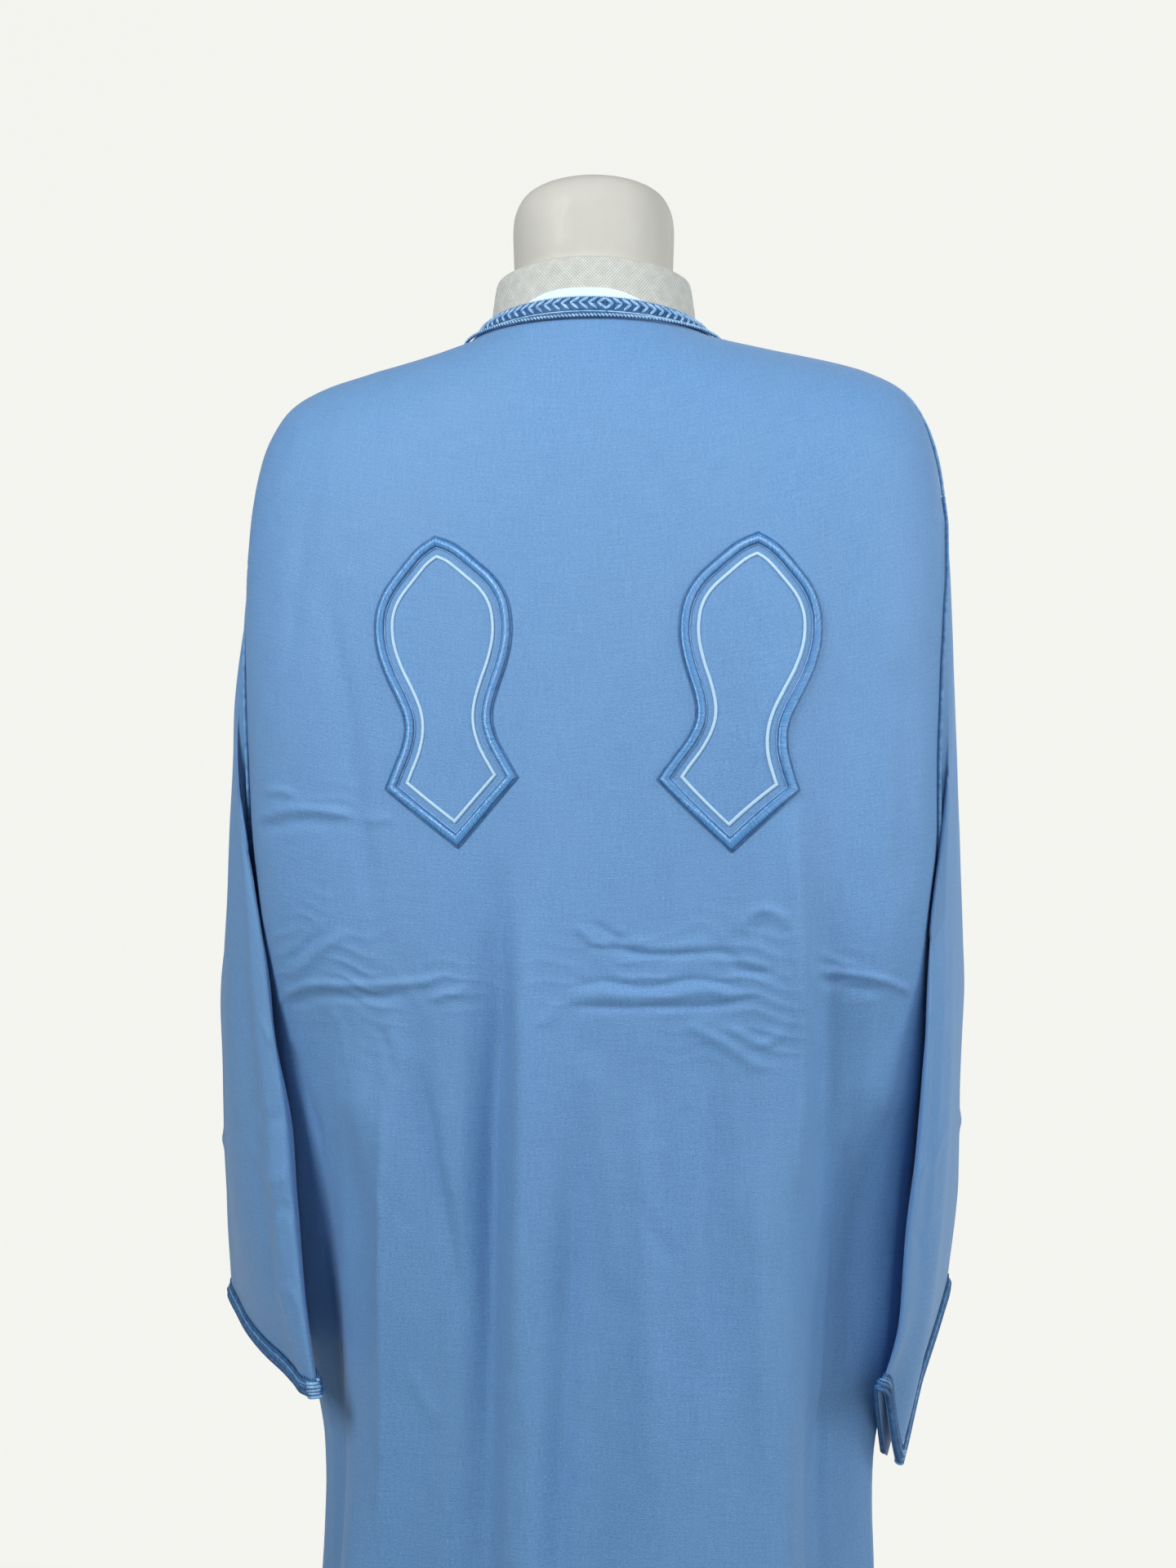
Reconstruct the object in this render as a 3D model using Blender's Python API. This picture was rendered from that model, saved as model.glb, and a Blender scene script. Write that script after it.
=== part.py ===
"""Hoodless djellaba of light blue cloth, standing open on a limbless dress form.

Metres, +Z up. The origin is the middle of the stand's underside. The garment's front
faces +Y and its back faces -Y, so +X is the wearer's right.

The body of the garment is one closed surface of rings, from the neck seam down to the
hem, cut along its shoulder and side seams into a back and a front. Each ring is a
superellipse seen from above, and its height changes from back to side to front, so the
upper rings lie over the shoulders. The sleeves are tubes that start on the armholes and
hang beside the body. What lies on the cloth is made from the cloth's own points, moved
out.
"""

import math

import bmesh
import bpy
import numpy as np
from mathutils import Vector
from mathutils.bvhtree import BVHTree

# Cloth, trims and the gaps between pieces
CLOTH = 0.0016
SEAM_HALF_GAP = 0.00018
GAP = 0.0004

# Each row is one ring of the outer cloth: its half width, how far it reaches back and
# front, its heights at the back, the sides and the front, how square it is, and how
# round its front edge hangs, from 1 for a V to 2. The first row is the upper edge of
# the neck band, the second the neck seam, the last the hem.
RING_COLUMNS = (
    "half_width", "back", "front", "z_back", "z_side", "z_front", "square", "round_front",
)
BODY_RINGS = (
    (0.0855, 0.0825, 0.0930, 1.5315, 1.5250, 1.3870, 2.0, 1.00),
    (0.0960, 0.0890, 0.1000, 1.5165, 1.5130, 1.3600, 2.0, 1.00),
    (0.1200, 0.0985, 0.1025, 1.4960, 1.5070, 1.3550, 2.1, 1.05),
    (0.1500, 0.1075, 0.1050, 1.4730, 1.5005, 1.3490, 2.2, 1.12),
    (0.1820, 0.1150, 0.1080, 1.4480, 1.4930, 1.3410, 2.3, 1.20),
    (0.2110, 0.1210, 0.1110, 1.4200, 1.4840, 1.3310, 2.4, 1.30),
    (0.2350, 0.1250, 0.1140, 1.3920, 1.4700, 1.3190, 2.5, 1.42),
    (0.2500, 0.1280, 0.1170, 1.3640, 1.4480, 1.3060, 2.6, 1.55),
    (0.2590, 0.1300, 0.1200, 1.3360, 1.4210, 1.2910, 2.7, 1.70),
    (0.2640, 0.1315, 0.1230, 1.3060, 1.3880, 1.2750, 2.8, 1.85),
    (0.2665, 0.1325, 0.1255, 1.2740, 1.3500, 1.2570, 2.9, 2.00),
    (0.2670, 0.1330, 0.1280, 1.2380, 1.3050, 1.2330, 3.0, 2.00),
    (0.2665, 0.1335, 0.1300, 1.2000, 1.2550, 1.2020, 3.0, 2.00),
    (0.2650, 0.1335, 0.1310, 1.1560, 1.1980, 1.1620, 3.0, 2.00),
    (0.2620, 0.1335, 0.1320, 1.1060, 1.1360, 1.1120, 3.0, 2.00),
    (0.2560, 0.1330, 0.1330, 1.0520, 1.0700, 1.0560, 2.90, 2.00),
    (0.2560, 0.1320, 0.1340, 0.9900, 1.0000, 0.9920, 2.20, 2.00),
    (0.2475, 0.1310, 0.1350, 0.9200, 0.9200, 0.9200, 2.05, 2.00),
    (0.2393, 0.1300, 0.1360, 0.8400, 0.8400, 0.8400, 2.00, 2.00),
    (0.2308, 0.1300, 0.1380, 0.7600, 0.7600, 0.7600, 2.05, 2.00),
    (0.2130, 0.1310, 0.1410, 0.6700, 0.6700, 0.6700, 2.25, 2.00),
    (0.2140, 0.1350, 0.1460, 0.5600, 0.5600, 0.5600, 2.3, 2.00),
    (0.2190, 0.1410, 0.1520, 0.4400, 0.4400, 0.4400, 2.3, 2.00),
    (0.2260, 0.1480, 0.1590, 0.3200, 0.3200, 0.3200, 2.3, 2.00),
    (0.2330, 0.1560, 0.1660, 0.2000, 0.2000, 0.2000, 2.3, 2.00),
    (0.2380, 0.1620, 0.1720, 0.1000, 0.1000, 0.1000, 2.3, 2.00),
)
BAND_ROW = 0
NECK_ROW = 1
ARMHOLE_BOTTOM_ROW = 15
HEM_ROW = len(BODY_RINGS) - 1
HEM_HEIGHT = BODY_RINGS[HEM_ROW][3]
ROW_STEPS = 10
RING_SAMPLES = 1440

# The largest folds. Across is the distance along the cloth from the middle of the back
# or the front towards +X, where the fold starts and at the hem. Depth is outwards, and
# grows from nothing at z_start to its full size at z_full.
FOLD_COLUMNS = ("across_top", "across_hem", "z_start", "z_full", "width", "depth")
BACK_FOLDS = (
    (-0.150, -0.175, 1.04, 0.80, 0.026, 0.022),
    (-0.208, -0.228, 1.10, 0.82, 0.032, -0.024),
    (-0.100, -0.116, 0.64, 0.30, 0.030, -0.018),
    (-0.052, -0.062, 1.22, 0.88, 0.018, -0.008),
    (-0.014, -0.036, 1.34, 0.84, 0.024, 0.009),
    (0.022, 0.012, 1.06, 0.80, 0.030, -0.009),
    (0.080, 0.076, 0.64, 0.30, 0.030, 0.016),
    (0.146, 0.160, 1.42, 1.20, 0.030, 0.008),
    (0.202, 0.196, 1.42, 1.20, 0.032, -0.010),
    (0.118, 0.120, 0.64, 0.30, 0.026, -0.014),
    (0.222, 0.232, 1.04, 0.78, 0.034, -0.012),
)
FRONT_FOLDS = (
    (-0.190, -0.200, 1.08, 0.70, 0.038, 0.020),
    (-0.135, -0.140, 1.14, 0.74, 0.036, -0.018),
    (-0.082, -0.080, 1.18, 0.66, 0.034, 0.017),
    (-0.028, -0.024, 1.08, 0.58, 0.034, -0.015),
    (0.030, 0.036, 1.14, 0.62, 0.034, 0.017),
    (0.086, 0.092, 1.18, 0.70, 0.034, -0.017),
    (0.140, 0.148, 1.10, 0.70, 0.036, 0.018),
    (0.200, 0.206, 1.06, 0.70, 0.038, -0.018),
)
FOLD_FADE_AT_SEAM = 0.030

# Panels: their rows of points follow the rings, twice as close beside the armholes
PANEL_ROWS = (*range(NECK_ROW, 9), *(n / 2 for n in range(18, 31)), *range(16, HEM_ROW + 1))
BACK_HALF_COLUMNS = 18
FRONT_HALF_COLUMNS = 13

# Armholes: the row of their upper end, and half their width when open
ARMHOLE_TOP_ROW = {"left": 10, "right": 9}
ARMHOLE_HALF_WIDTH = 0.050
SIDE_SIGN = {"left": -1, "right": 1}
SLEEVE_SEAM_GAP = 0.0004
SLEEVE_END_GAP = 0.0010

# Sleeves: each row is one section of the tube, as its middle, the step from there to
# its outer face, and the step to its back edge.
SLEEVE_COLUMNS = ("x", "y", "z", "out_x", "out_y", "out_z", "back_x", "back_y", "back_z")
SLEEVE_SECTIONS = {
    "left": (
        (-0.2735, -0.001, 1.186, -0.0045, 0.0000, 0.124, 0.0060, -0.048, 0.000),
        (-0.2770, -0.003, 1.146, -0.0100, -0.0010, 0.102, 0.0160, -0.058, 0.000),
        (-0.2765, -0.008, 1.104, -0.0125, -0.0020, 0.076, 0.0275, -0.068, 0.000),
        (-0.2758, -0.015, 1.056, -0.0130, -0.0040, 0.050, 0.0392, -0.075, 0.000),
        (-0.2775, -0.019, 0.998, -0.0105, -0.0060, 0.028, 0.0490, -0.077, 0.000),
        (-0.2688, -0.020, 0.930, -0.0150, -0.0090, 0.010, 0.0518, -0.080, 0.000),
        (-0.2627, -0.025, 0.864, -0.0140, -0.0090, 0.000, 0.0547, -0.080, -0.002),
        (-0.2550, -0.030, 0.800, -0.0120, -0.0080, 0.000, 0.0580, -0.081, -0.006),
        (-0.2465, -0.036, 0.7425, -0.0090, -0.0060, 0.000, 0.0615, -0.080, -0.009),
    ),
    "right": (
        (0.2675, 0.000, 1.205, 0.0020, 0.0000, 0.142, -0.0020, -0.045, 0.000),
        (0.2690, 0.003, 1.160, 0.0035, 0.0000, 0.114, -0.0030, -0.050, 0.000),
        (0.2705, 0.008, 1.112, 0.0050, -0.0010, 0.086, -0.0088, -0.057, 0.000),
        (0.2695, 0.013, 1.060, 0.0062, -0.0020, 0.056, -0.0140, -0.067, 0.000),
        (0.2680, 0.018, 1.000, 0.0095, -0.0020, 0.030, -0.0158, -0.079, 0.000),
        (0.2642, 0.024, 0.930, 0.0105, -0.0025, 0.011, -0.0160, -0.086, -0.006),
        (0.2592, 0.030, 0.862, 0.0105, -0.0025, 0.000, -0.0185, -0.090, -0.014),
        (0.2532, 0.038, 0.790, 0.0090, -0.0025, 0.000, -0.0215, -0.094, -0.036),
        (0.2400, 0.047, 0.7055, 0.0045, -0.0020, 0.000, -0.0335, -0.098, -0.0544),
    ),
}
SLEEVE_SQUARE_TOP = 2.0
SLEEVE_SQUARE_CUFF = 2.0
SLEEVE_ROWS_EACH = 1.25

# Lengthwise folds of the sleeves: the turn from the outer face towards the back, at the
# top and at the cuff, in degrees, the width in degrees, and the depth inwards.
SLEEVE_FOLDS = {
    "left": ((38, 42, 24, -0.0045), (-40, -46, 26, -0.0040)),
    "right": ((26, 28, 15, 0.0060), (62, 60, 18, -0.0035), (-50, -54, 26, -0.0045)),
}

# Twist at the cuff: from a share of the sleeve's length on, the cloth drops to a point at
# a share of the way to the back edge, and beyond it is drawn up and out. The last three
# are the drop, the rise and the shift at the cuff.
SLEEVE_TWISTS = {"left": (0.80, 0.95, 0.0, 0.0, 0.0), "right": (0.80, 0.40, 0.017, 0.0875, 0.0110)}
SLEEVE_TWIST_REACH = 0.5

# Neck: the woven band, the strip inside it, and the cord below it
BAND_COLUMNS = 36
BAND_THICK = 0.0022
BAND_LIFT = 0.0006
STRIP_THICK = 0.0008
STRIP_RISE_BACK = 0.0095
STRIP_RISE_FRONT = 0.0050
BAND_SEAM_GAP = 0.0010
NECK_CORD_RADIUS = 0.0019
NECK_CORD_LIFT = 0.0012
SEAM_CORD_RADIUS = 0.0014
SEAM_CORD_LIFT = 0.0006
ARMHOLE_CORD_CLEAR = 0.0044
CORD_SIDES = 6

# Cuffs: the trim round each cuff
CUFF_BAND_WIDTH = 0.016
CUFF_BAND_THICK = 0.0014
CUFF_BAND_LIFT = 0.0017

# Sandal figures: half the width of the border's middle line against the share of the
# length, from the pointed toe to the heel's corner. From there it runs straight to the
# heel's point.
SOLE_OUTLINE = (
    (0.000, 0.0000), (0.030, 0.0125), (0.085, 0.0255), (0.150, 0.0385), (0.215, 0.0455),
    (0.285, 0.0475), (0.355, 0.0460), (0.430, 0.0410), (0.500, 0.0345), (0.565, 0.0295),
    (0.620, 0.0285), (0.680, 0.0315), (0.740, 0.0375), (0.805, 0.0445),
)
SOLE_LENGTH = 0.212
SOLE_FLANK_POINTS = 27
SOLE_HEEL_POINTS = 7
SOLE_OVERRUN = 0.020
SOLE_BORDER = 0.0068
SOLE_BORDER_RISE = 0.0015
SOLE_LINE = 0.0024
SOLE_LINE_INSET = 0.0097
SOLE_LINE_RISE = 0.0007
SOLE_LIFT = 0.0007
SOLE_SEARCH = 0.010
SOLE_PLACES = {
    "left": {"across": -0.0850, "z": 1.2440, "turn": 5.0, "heel_shift": -0.002},
    "right": {"across": 0.1290, "z": 1.2420, "turn": -4.5, "heel_shift": -0.009},
}
SOLE_HEEL_SHARE = 0.82
SOLE_HEEL_SPREAD = 0.20

# Dress form, with the same columns as the garment's rings, from the hips up
FORM_RINGS = (
    (0.1700, 0.1080, 0.1000, 0.8000, 0.8000, 0.8000, 2.3, 2.0),
    (0.1750, 0.1120, 0.1040, 0.8500, 0.8500, 0.8500, 2.3, 2.0),
    (0.1680, 0.1080, 0.1040, 0.9200, 0.9200, 0.9200, 2.3, 2.0),
    (0.1420, 0.0940, 0.1000, 1.0200, 1.0200, 1.0200, 2.2, 2.0),
    (0.1330, 0.0870, 0.1000, 1.0800, 1.0800, 1.0800, 2.2, 2.0),
    (0.1420, 0.0920, 0.1050, 1.1500, 1.1500, 1.1500, 2.2, 2.0),
    (0.1580, 0.1000, 0.1100, 1.2300, 1.2350, 1.2300, 2.3, 2.0),
    (0.1700, 0.1050, 0.1080, 1.2900, 1.3100, 1.2850, 2.3, 2.0),
    (0.1800, 0.1080, 0.1020, 1.3350, 1.3750, 1.3250, 2.3, 2.0),
    (0.1920, 0.1085, 0.0960, 1.3700, 1.4250, 1.3550, 2.3, 2.0),
    (0.2020, 0.1085, 0.0915, 1.3980, 1.4600, 1.3780, 2.3, 2.0),
    (0.2035, 0.1085, 0.0885, 1.4120, 1.4755, 1.3920, 2.3, 2.0),
    (0.1960, 0.1080, 0.0860, 1.4280, 1.4855, 1.4040, 2.3, 2.0),
    (0.1810, 0.1080, 0.0840, 1.4420, 1.4908, 1.4150, 2.3, 2.0),
    (0.1500, 0.1020, 0.0815, 1.4680, 1.4983, 1.4300, 2.2, 2.0),
    (0.1200, 0.0935, 0.0795, 1.4910, 1.5048, 1.4450, 2.1, 2.0),
    (0.0950, 0.0840, 0.0770, 1.5100, 1.5080, 1.4590, 2.0, 2.0),
    (0.0805, 0.0765, 0.0750, 1.5290, 1.5215, 1.4780, 2.0, 2.0),
    (0.0770, 0.0735, 0.0730, 1.5480, 1.5420, 1.5080, 2.0, 2.0),
    (0.0745, 0.0720, 0.0715, 1.5620, 1.5580, 1.5340, 2.0, 2.0),
    (0.0715, 0.0695, 0.0690, 1.5655, 1.5620, 1.5400, 2.0, 2.0),
    (0.0615, 0.0615, 0.0615, 1.5665, 1.5635, 1.5430, 2.0, 2.0),
    (0.0615, 0.0615, 0.0615, 1.5800, 1.5800, 1.5800, 2.0, 2.0),
    (0.0620, 0.0620, 0.0620, 1.6040, 1.6040, 1.6040, 2.0, 2.0),
    (0.0595, 0.0595, 0.0595, 1.6180, 1.6180, 1.6180, 2.0, 2.0),
    (0.0520, 0.0520, 0.0520, 1.6290, 1.6290, 1.6290, 2.0, 2.0),
    (0.0370, 0.0370, 0.0370, 1.6360, 1.6360, 1.6360, 2.0, 2.0),
    (0.0180, 0.0180, 0.0180, 1.6385, 1.6385, 1.6385, 2.0, 2.0),
)
FORM_COLUMNS = 24

# Stand
BASE_RADIUS = 0.185
BASE_EDGE = 0.008
BASE_MIDDLE = 0.014
HUB_RADIUS = 0.026
HUB_TOP = 0.050
POLE_RADIUS = 0.0125
STAND_SIDES = 40
POLE_SIDES = 20

# Finishes: colour, roughness, metallic
FINISHES = {
    "crepe": ((0.115, 0.300, 0.560), 0.55, 0.0),
    "braid": ((0.045, 0.160, 0.430), 0.50, 0.0),
    "cord": ((0.260, 0.520, 0.800), 0.45, 0.0),
    "satin_stitch": ((0.120, 0.330, 0.640), 0.35, 0.0),
    "pale_stitch": ((0.560, 0.760, 0.880), 0.40, 0.0),
    "white_strip": ((0.640, 0.830, 0.920), 0.70, 0.0),
    "form_cover": ((0.640, 0.660, 0.640), 0.85, 0.0),
    "steel": ((0.560, 0.570, 0.580), 0.35, 1.0),
}


def named_columns(names, rows):
    """The table's columns by their names."""
    return {name: np.array([row[i] for row in rows]) for i, name in enumerate(names)}


def along(values, at):
    """A column's values at fractional rows, on a smooth curve through the rows."""
    last = len(values) - 1
    low = np.clip(np.floor(at).astype(int), 0, last - 1)
    share = at - low
    before, start = values[np.maximum(low - 1, 0)], values[low]
    end, after = values[low + 1], values[np.minimum(low + 2, last)]
    slope_start, slope_end = (end - before) / 2, (after - start) / 2
    square, cube = share**2, share**3
    return (
        start * (2 * cube - 3 * square + 1)
        + slope_start * (cube - 2 * square + share)
        + end * (3 * square - 2 * cube)
        + slope_end * (cube - square)
    )


def eased(low, high, value):
    """0 at low, 1 at high, and smooth between them."""
    share = np.clip((value - low) / (high - low), 0.0, 1.0)
    return share * share * (3 - 2 * share)


def unit(vectors):
    """The vectors, each one long."""
    return vectors / np.maximum(np.linalg.norm(vectors, axis=-1, keepdims=True), 1e-12)


def ring_points(columns, rows, angles):
    """Points on the rings of a table, at angles from the back towards +X."""
    half_width = along(columns["half_width"], rows)
    power = 2 / along(columns["square"], rows)
    at_back = np.cos(angles) >= 0
    reach = np.abs(np.sin(angles)) ** power
    depth = np.where(at_back, along(columns["back"], rows), along(columns["front"], rows))
    middle = np.where(at_back, along(columns["z_back"], rows), along(columns["z_front"], rows))
    roundness = np.where(at_back, 2.0, along(columns["round_front"], rows))
    z_side = along(columns["z_side"], rows)
    x = half_width * reach * np.sign(np.sin(angles))
    y = -depth * np.sign(np.cos(angles)) * np.abs(np.cos(angles)) ** power
    z = z_side + (middle - z_side) * (1 - reach**roundness)
    return np.stack([x, y, z], axis=-1)


def fold_push(folds, across, height):
    """How far the folds move the cloth outwards."""
    push = np.zeros_like(across)
    for row in folds:
        fold = dict(zip(FOLD_COLUMNS, row))
        share = (fold["z_start"] - height) / (fold["z_start"] - HEM_HEIGHT)
        middle = fold["across_top"] + (fold["across_hem"] - fold["across_top"]) * share
        grown = eased(fold["z_start"], fold["z_full"], height)
        push += fold["depth"] * grown * np.exp(-(((across - middle) / fold["width"]) ** 2))
    return push


class Body:
    """The garment's body as one closed surface, read at any row and angle."""

    def __init__(self):
        columns = named_columns(RING_COLUMNS, BODY_RINGS)
        self.z_side = columns["z_side"]
        self.angles = np.linspace(-math.pi, math.pi, RING_SAMPLES + 1)
        rows = np.linspace(0, HEM_ROW, HEM_ROW * ROW_STEPS + 1)
        row_grid, angle_grid = np.meshgrid(rows, self.angles, indexing="ij")
        base = ring_points(columns, row_grid, angle_grid)
        steps = np.linalg.norm(np.diff(base, axis=1), axis=2)
        length = np.concatenate([np.zeros((len(rows), 1)), np.cumsum(steps, axis=1)], axis=1)
        middle = RING_SAMPLES // 2
        self.around = length - length[:, [middle]]
        self.half = length[:, [-1]] / 2
        quarter = RING_SAMPLES // 4
        self.side = self.around[:, middle + quarter]
        at_back = np.cos(angle_grid) >= 0
        front_across = np.sign(self.around) * (self.half - np.abs(self.around))
        across = np.where(at_back, self.around, front_across)
        side = self.side[:, None]
        to_seam = np.where(at_back, side, self.half - side) - np.abs(across)
        back_push = fold_push(BACK_FOLDS, across, base[..., 2])
        front_push = fold_push(FRONT_FOLDS, across, base[..., 2])
        push = np.where(at_back, back_push, front_push) * eased(0, FOLD_FADE_AT_SEAM, to_seam)
        tangent = np.gradient(base, axis=1)
        outward = unit(np.stack([tangent[..., 1], -tangent[..., 0], 0 * push], axis=-1))
        self.points = base + push[..., None] * outward
        self.down = unit(np.gradient(self.points, axis=0))
        self.normals = unit(np.cross(np.gradient(self.points, axis=1), self.down))
        if (self.normals[:, middle, 1] > 0).any():
            self.normals = -self.normals
        for directions in (self.down, self.normals):
            shared = unit(directions[:, 0] + directions[:, -1])
            directions[:, 0] = directions[:, -1] = shared

    def read(self, grid, row, angle):
        """The values of a grid at rows and angles, between its samples."""
        row, angle = np.broadcast_arrays(row, angle)
        r = np.clip(row, 0, HEM_ROW) * ROW_STEPS
        c = (angle + math.pi) / (2 * math.pi) * RING_SAMPLES
        i = np.clip(np.floor(r).astype(int), 0, grid.shape[0] - 2)
        j = np.clip(np.floor(c).astype(int), 0, grid.shape[1] - 2)
        fr, fc = (r - i)[..., None], (c - j)[..., None]
        near = grid[i, j] * (1 - fc) + grid[i, j + 1] * fc
        far = grid[i + 1, j] * (1 - fc) + grid[i + 1, j + 1] * fc
        return near * (1 - fr) + far * fr

    def at(self, row, angle, lift=0.0, down=0.0):
        """Points of the cloth, moved out by lift and along it, downwards, by down."""
        return (
            self.read(self.points, row, angle)
            + self.normal(row, angle) * np.asarray(lift)[..., None]
            + unit(self.read(self.down, row, angle)) * np.asarray(down)[..., None]
        )

    def normal(self, row, angle):
        """The outward directions of the cloth."""
        return unit(self.read(self.normals, row, angle))

    def ring_of(self, table, row):
        """One ring of a table of lengths, at a fractional row."""
        r = row * ROW_STEPS
        i = min(int(r), len(table) - 2)
        return table[i] * (1 - (r - i)) + table[i + 1] * (r - i)

    def angle_at(self, row, around):
        """Angles where the distance round the ring from the middle of the back is this."""
        return np.interp(around, self.ring_of(self.around, row), self.angles)

    def side_at(self, row):
        """The distance round the ring from the middle of the back to the side seam."""
        return float(self.ring_of(self.side, row))

    def half_at(self, row):
        """The distance round the ring from the middle of the back to that of the front."""
        return float(self.ring_of(self.half, row)[0])

    def place(self, across, height):
        """The row and angle of a point of the back, from its distance across and height."""
        angles = np.array([np.interp(across, ring, self.angles) for ring in self.around])
        rows = np.arange(len(angles)) / ROW_STEPS
        heights = self.read(self.points, rows, angles)[:, 2]
        row = np.interp(-height, -heights, rows)
        return row, np.interp(row, rows, angles)

    def opening(self, side, row, grow=0.0):
        """Half the width of an armhole at a row, and a little more with grow."""
        z_top = self.z_side[ARMHOLE_TOP_ROW[side]] + grow
        z_bottom = self.z_side[ARMHOLE_BOTTOM_ROW] - grow
        share = (along(self.z_side, np.float64(row)) - z_bottom) / (z_top - z_bottom)
        if not 0 < share < 1:
            return 0.0
        return (ARMHOLE_HALF_WIDTH + grow) * math.sqrt(math.sin(math.pi * share))


def add_object(name, points, faces, finish, collection):
    """A mesh object of these points and faces, facing out."""
    mesh = bpy.data.meshes.new(name)
    mesh.from_pydata([tuple(p) for p in points], [], faces)
    work = bmesh.new()
    work.from_mesh(mesh)
    if work.calc_volume(signed=True) < 0:
        bmesh.ops.reverse_faces(work, faces=work.faces)
    work.to_mesh(mesh)
    work.free()
    obj = bpy.data.objects.new(name, mesh)
    collection.objects.link(obj)
    obj.data.materials.append(material_of(finish))
    return obj


def material_of(finish):
    """The Principled material of this finish, made once."""
    found = bpy.data.materials.get(finish)
    if found:
        return found
    colour, roughness, metallic = FINISHES[finish]
    made = bpy.data.materials.new(finish)
    made.use_nodes = True
    shader = made.node_tree.nodes["Principled BSDF"]
    shader.inputs["Base Color"].default_value = (*colour, 1.0)
    shader.inputs["Roughness"].default_value = roughness
    shader.inputs["Metallic"].default_value = metallic
    return made


def shell(outer, inner, wraps=False):
    """Points and faces of a wall between two grids; wraps joins the last column to the first."""
    rows, columns = outer.shape[:2]
    points = np.concatenate([outer.reshape(-1, 3), inner.reshape(-1, 3)])
    below = rows * columns
    spans = columns if wraps else columns - 1
    faces = []
    for i in range(rows - 1):
        for j in range(spans):
            k = (j + 1) % columns
            a, b = i * columns + j, i * columns + k
            c, d = (i + 1) * columns + k, (i + 1) * columns + j
            faces.append((a, b, c, d))
            faces.append((below + d, below + c, below + b, below + a))
    for j in range(spans):
        k = (j + 1) % columns
        last = (rows - 1) * columns
        faces.append((j, below + j, below + k, k))
        faces.append((last + j, last + k, below + last + k, below + last + j))
    if not wraps:
        for i in range(rows - 1):
            a, b = i * columns, (i + 1) * columns
            faces.append((a, b, below + b, below + a))
            c, d = a + columns - 1, b + columns - 1
            faces.append((c, below + c, below + d, d))
    return points, faces


def stack(rings):
    """Points and faces of a solid through closed rings, shut at both ends."""
    count, columns = rings.shape[:2]
    points = np.concatenate([rings.reshape(-1, 3), [rings[0].mean(axis=0)], [rings[-1].mean(axis=0)]])
    faces = []
    for i in range(count - 1):
        for j in range(columns):
            k = (j + 1) % columns
            faces.append((i * columns + j, i * columns + k, (i + 1) * columns + k, (i + 1) * columns + j))
    low, high = count * columns, count * columns + 1
    for j in range(columns):
        k = (j + 1) % columns
        faces.append((k, j, low))
        faces.append(((count - 1) * columns + j, (count - 1) * columns + k, high))
    return points, faces


def cord(path, normals, radius, closed):
    """Points and faces of a round cord along a path that lies on the cloth."""
    if closed:
        tangent = unit(np.roll(path, -1, axis=0) - np.roll(path, 1, axis=0))
    else:
        tangent = unit(np.gradient(path, axis=0))
    across = unit(np.cross(tangent, normals))
    up = np.cross(across, tangent)
    turns = np.arange(CORD_SIDES) * 2 * math.pi / CORD_SIDES
    rings = (
        path[:, None]
        + radius * np.cos(turns)[None, :, None] * across[:, None]
        + radius * np.sin(turns)[None, :, None] * up[:, None]
    )
    if not closed:
        return stack(rings)
    count = len(path)
    faces = []
    for i in range(count):
        k = (i + 1) % count
        for j in range(CORD_SIDES):
            m = (j + 1) % CORD_SIDES
            faces.append(tuple(n * CORD_SIDES + o for n, o in ((i, j), (i, m), (k, m), (k, j))))
    return rings.reshape(-1, 3), faces


def panel_angles(body, row, at_back, half_columns):
    """The angles of a panel's points on one row, from its left edge to its right edge."""
    reach = []
    for side in ("left", "right"):
        seam = body.side_at(row) if at_back else body.half_at(row) - body.side_at(row)
        reach.append(seam - body.opening(side, row) - SEAM_HALF_GAP)
    shares = np.linspace(0, 1, half_columns + 1)
    across = np.concatenate([-reach[0] * shares[::-1], reach[1] * shares[1:]])
    if at_back:
        return body.angle_at(row, across)
    around = np.where(across < 0, -1, 1) * (body.half_at(row) - np.abs(across))
    return body.angle_at(row, around)


def add_panel(body, name, at_back, half_columns, collection):
    """The back or the front of the garment."""
    outer, inner = [], []
    for row in PANEL_ROWS:
        angles = panel_angles(body, row, at_back, half_columns)
        outer.append(body.at(row, angles))
        inner.append(body.at(row, angles, lift=-CLOTH))
    points, faces = shell(np.array(outer), np.array(inner))
    return add_object(name, points, faces, "crepe", collection)


def armhole_rows(side):
    """The rows down one side of an armhole, between its ends."""
    top = ARMHOLE_TOP_ROW[side]
    return [row for row in PANEL_ROWS if top < row < ARMHOLE_BOTTOM_ROW]


def armhole_loop(body, side, grow, lift, end_shift):
    """Points round an armhole from its top by the back, and their outward directions."""
    sign = SIDE_SIGN[side]
    rows = armhole_rows(side)
    top, bottom = ARMHOLE_TOP_ROW[side], ARMHOLE_BOTTOM_ROW
    stops = [(top, 0.0, end_shift)]
    stops += [(row, -1.0, 0.0) for row in rows]
    stops += [(bottom, 0.0, -end_shift)]
    stops += [(row, 1.0, 0.0) for row in rows[::-1]]
    points, normals = [], []
    for row, towards_front, down in stops:
        width = (body.opening(side, row) + grow) * towards_front
        angle = body.angle_at(row, sign * (body.side_at(row) + width))
        points.append(body.at(row, angle, lift=lift, down=down))
        normals.append(body.normal(row, angle))
    return np.array(points), np.array(normals)


def sleeve_turns(side):
    """The turn of each column of a sleeve from its outer face towards its back edge."""
    count = len(armhole_rows(side)) + 1
    return np.concatenate([np.arange(count), count + np.arange(count)]) * math.pi / count


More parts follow.
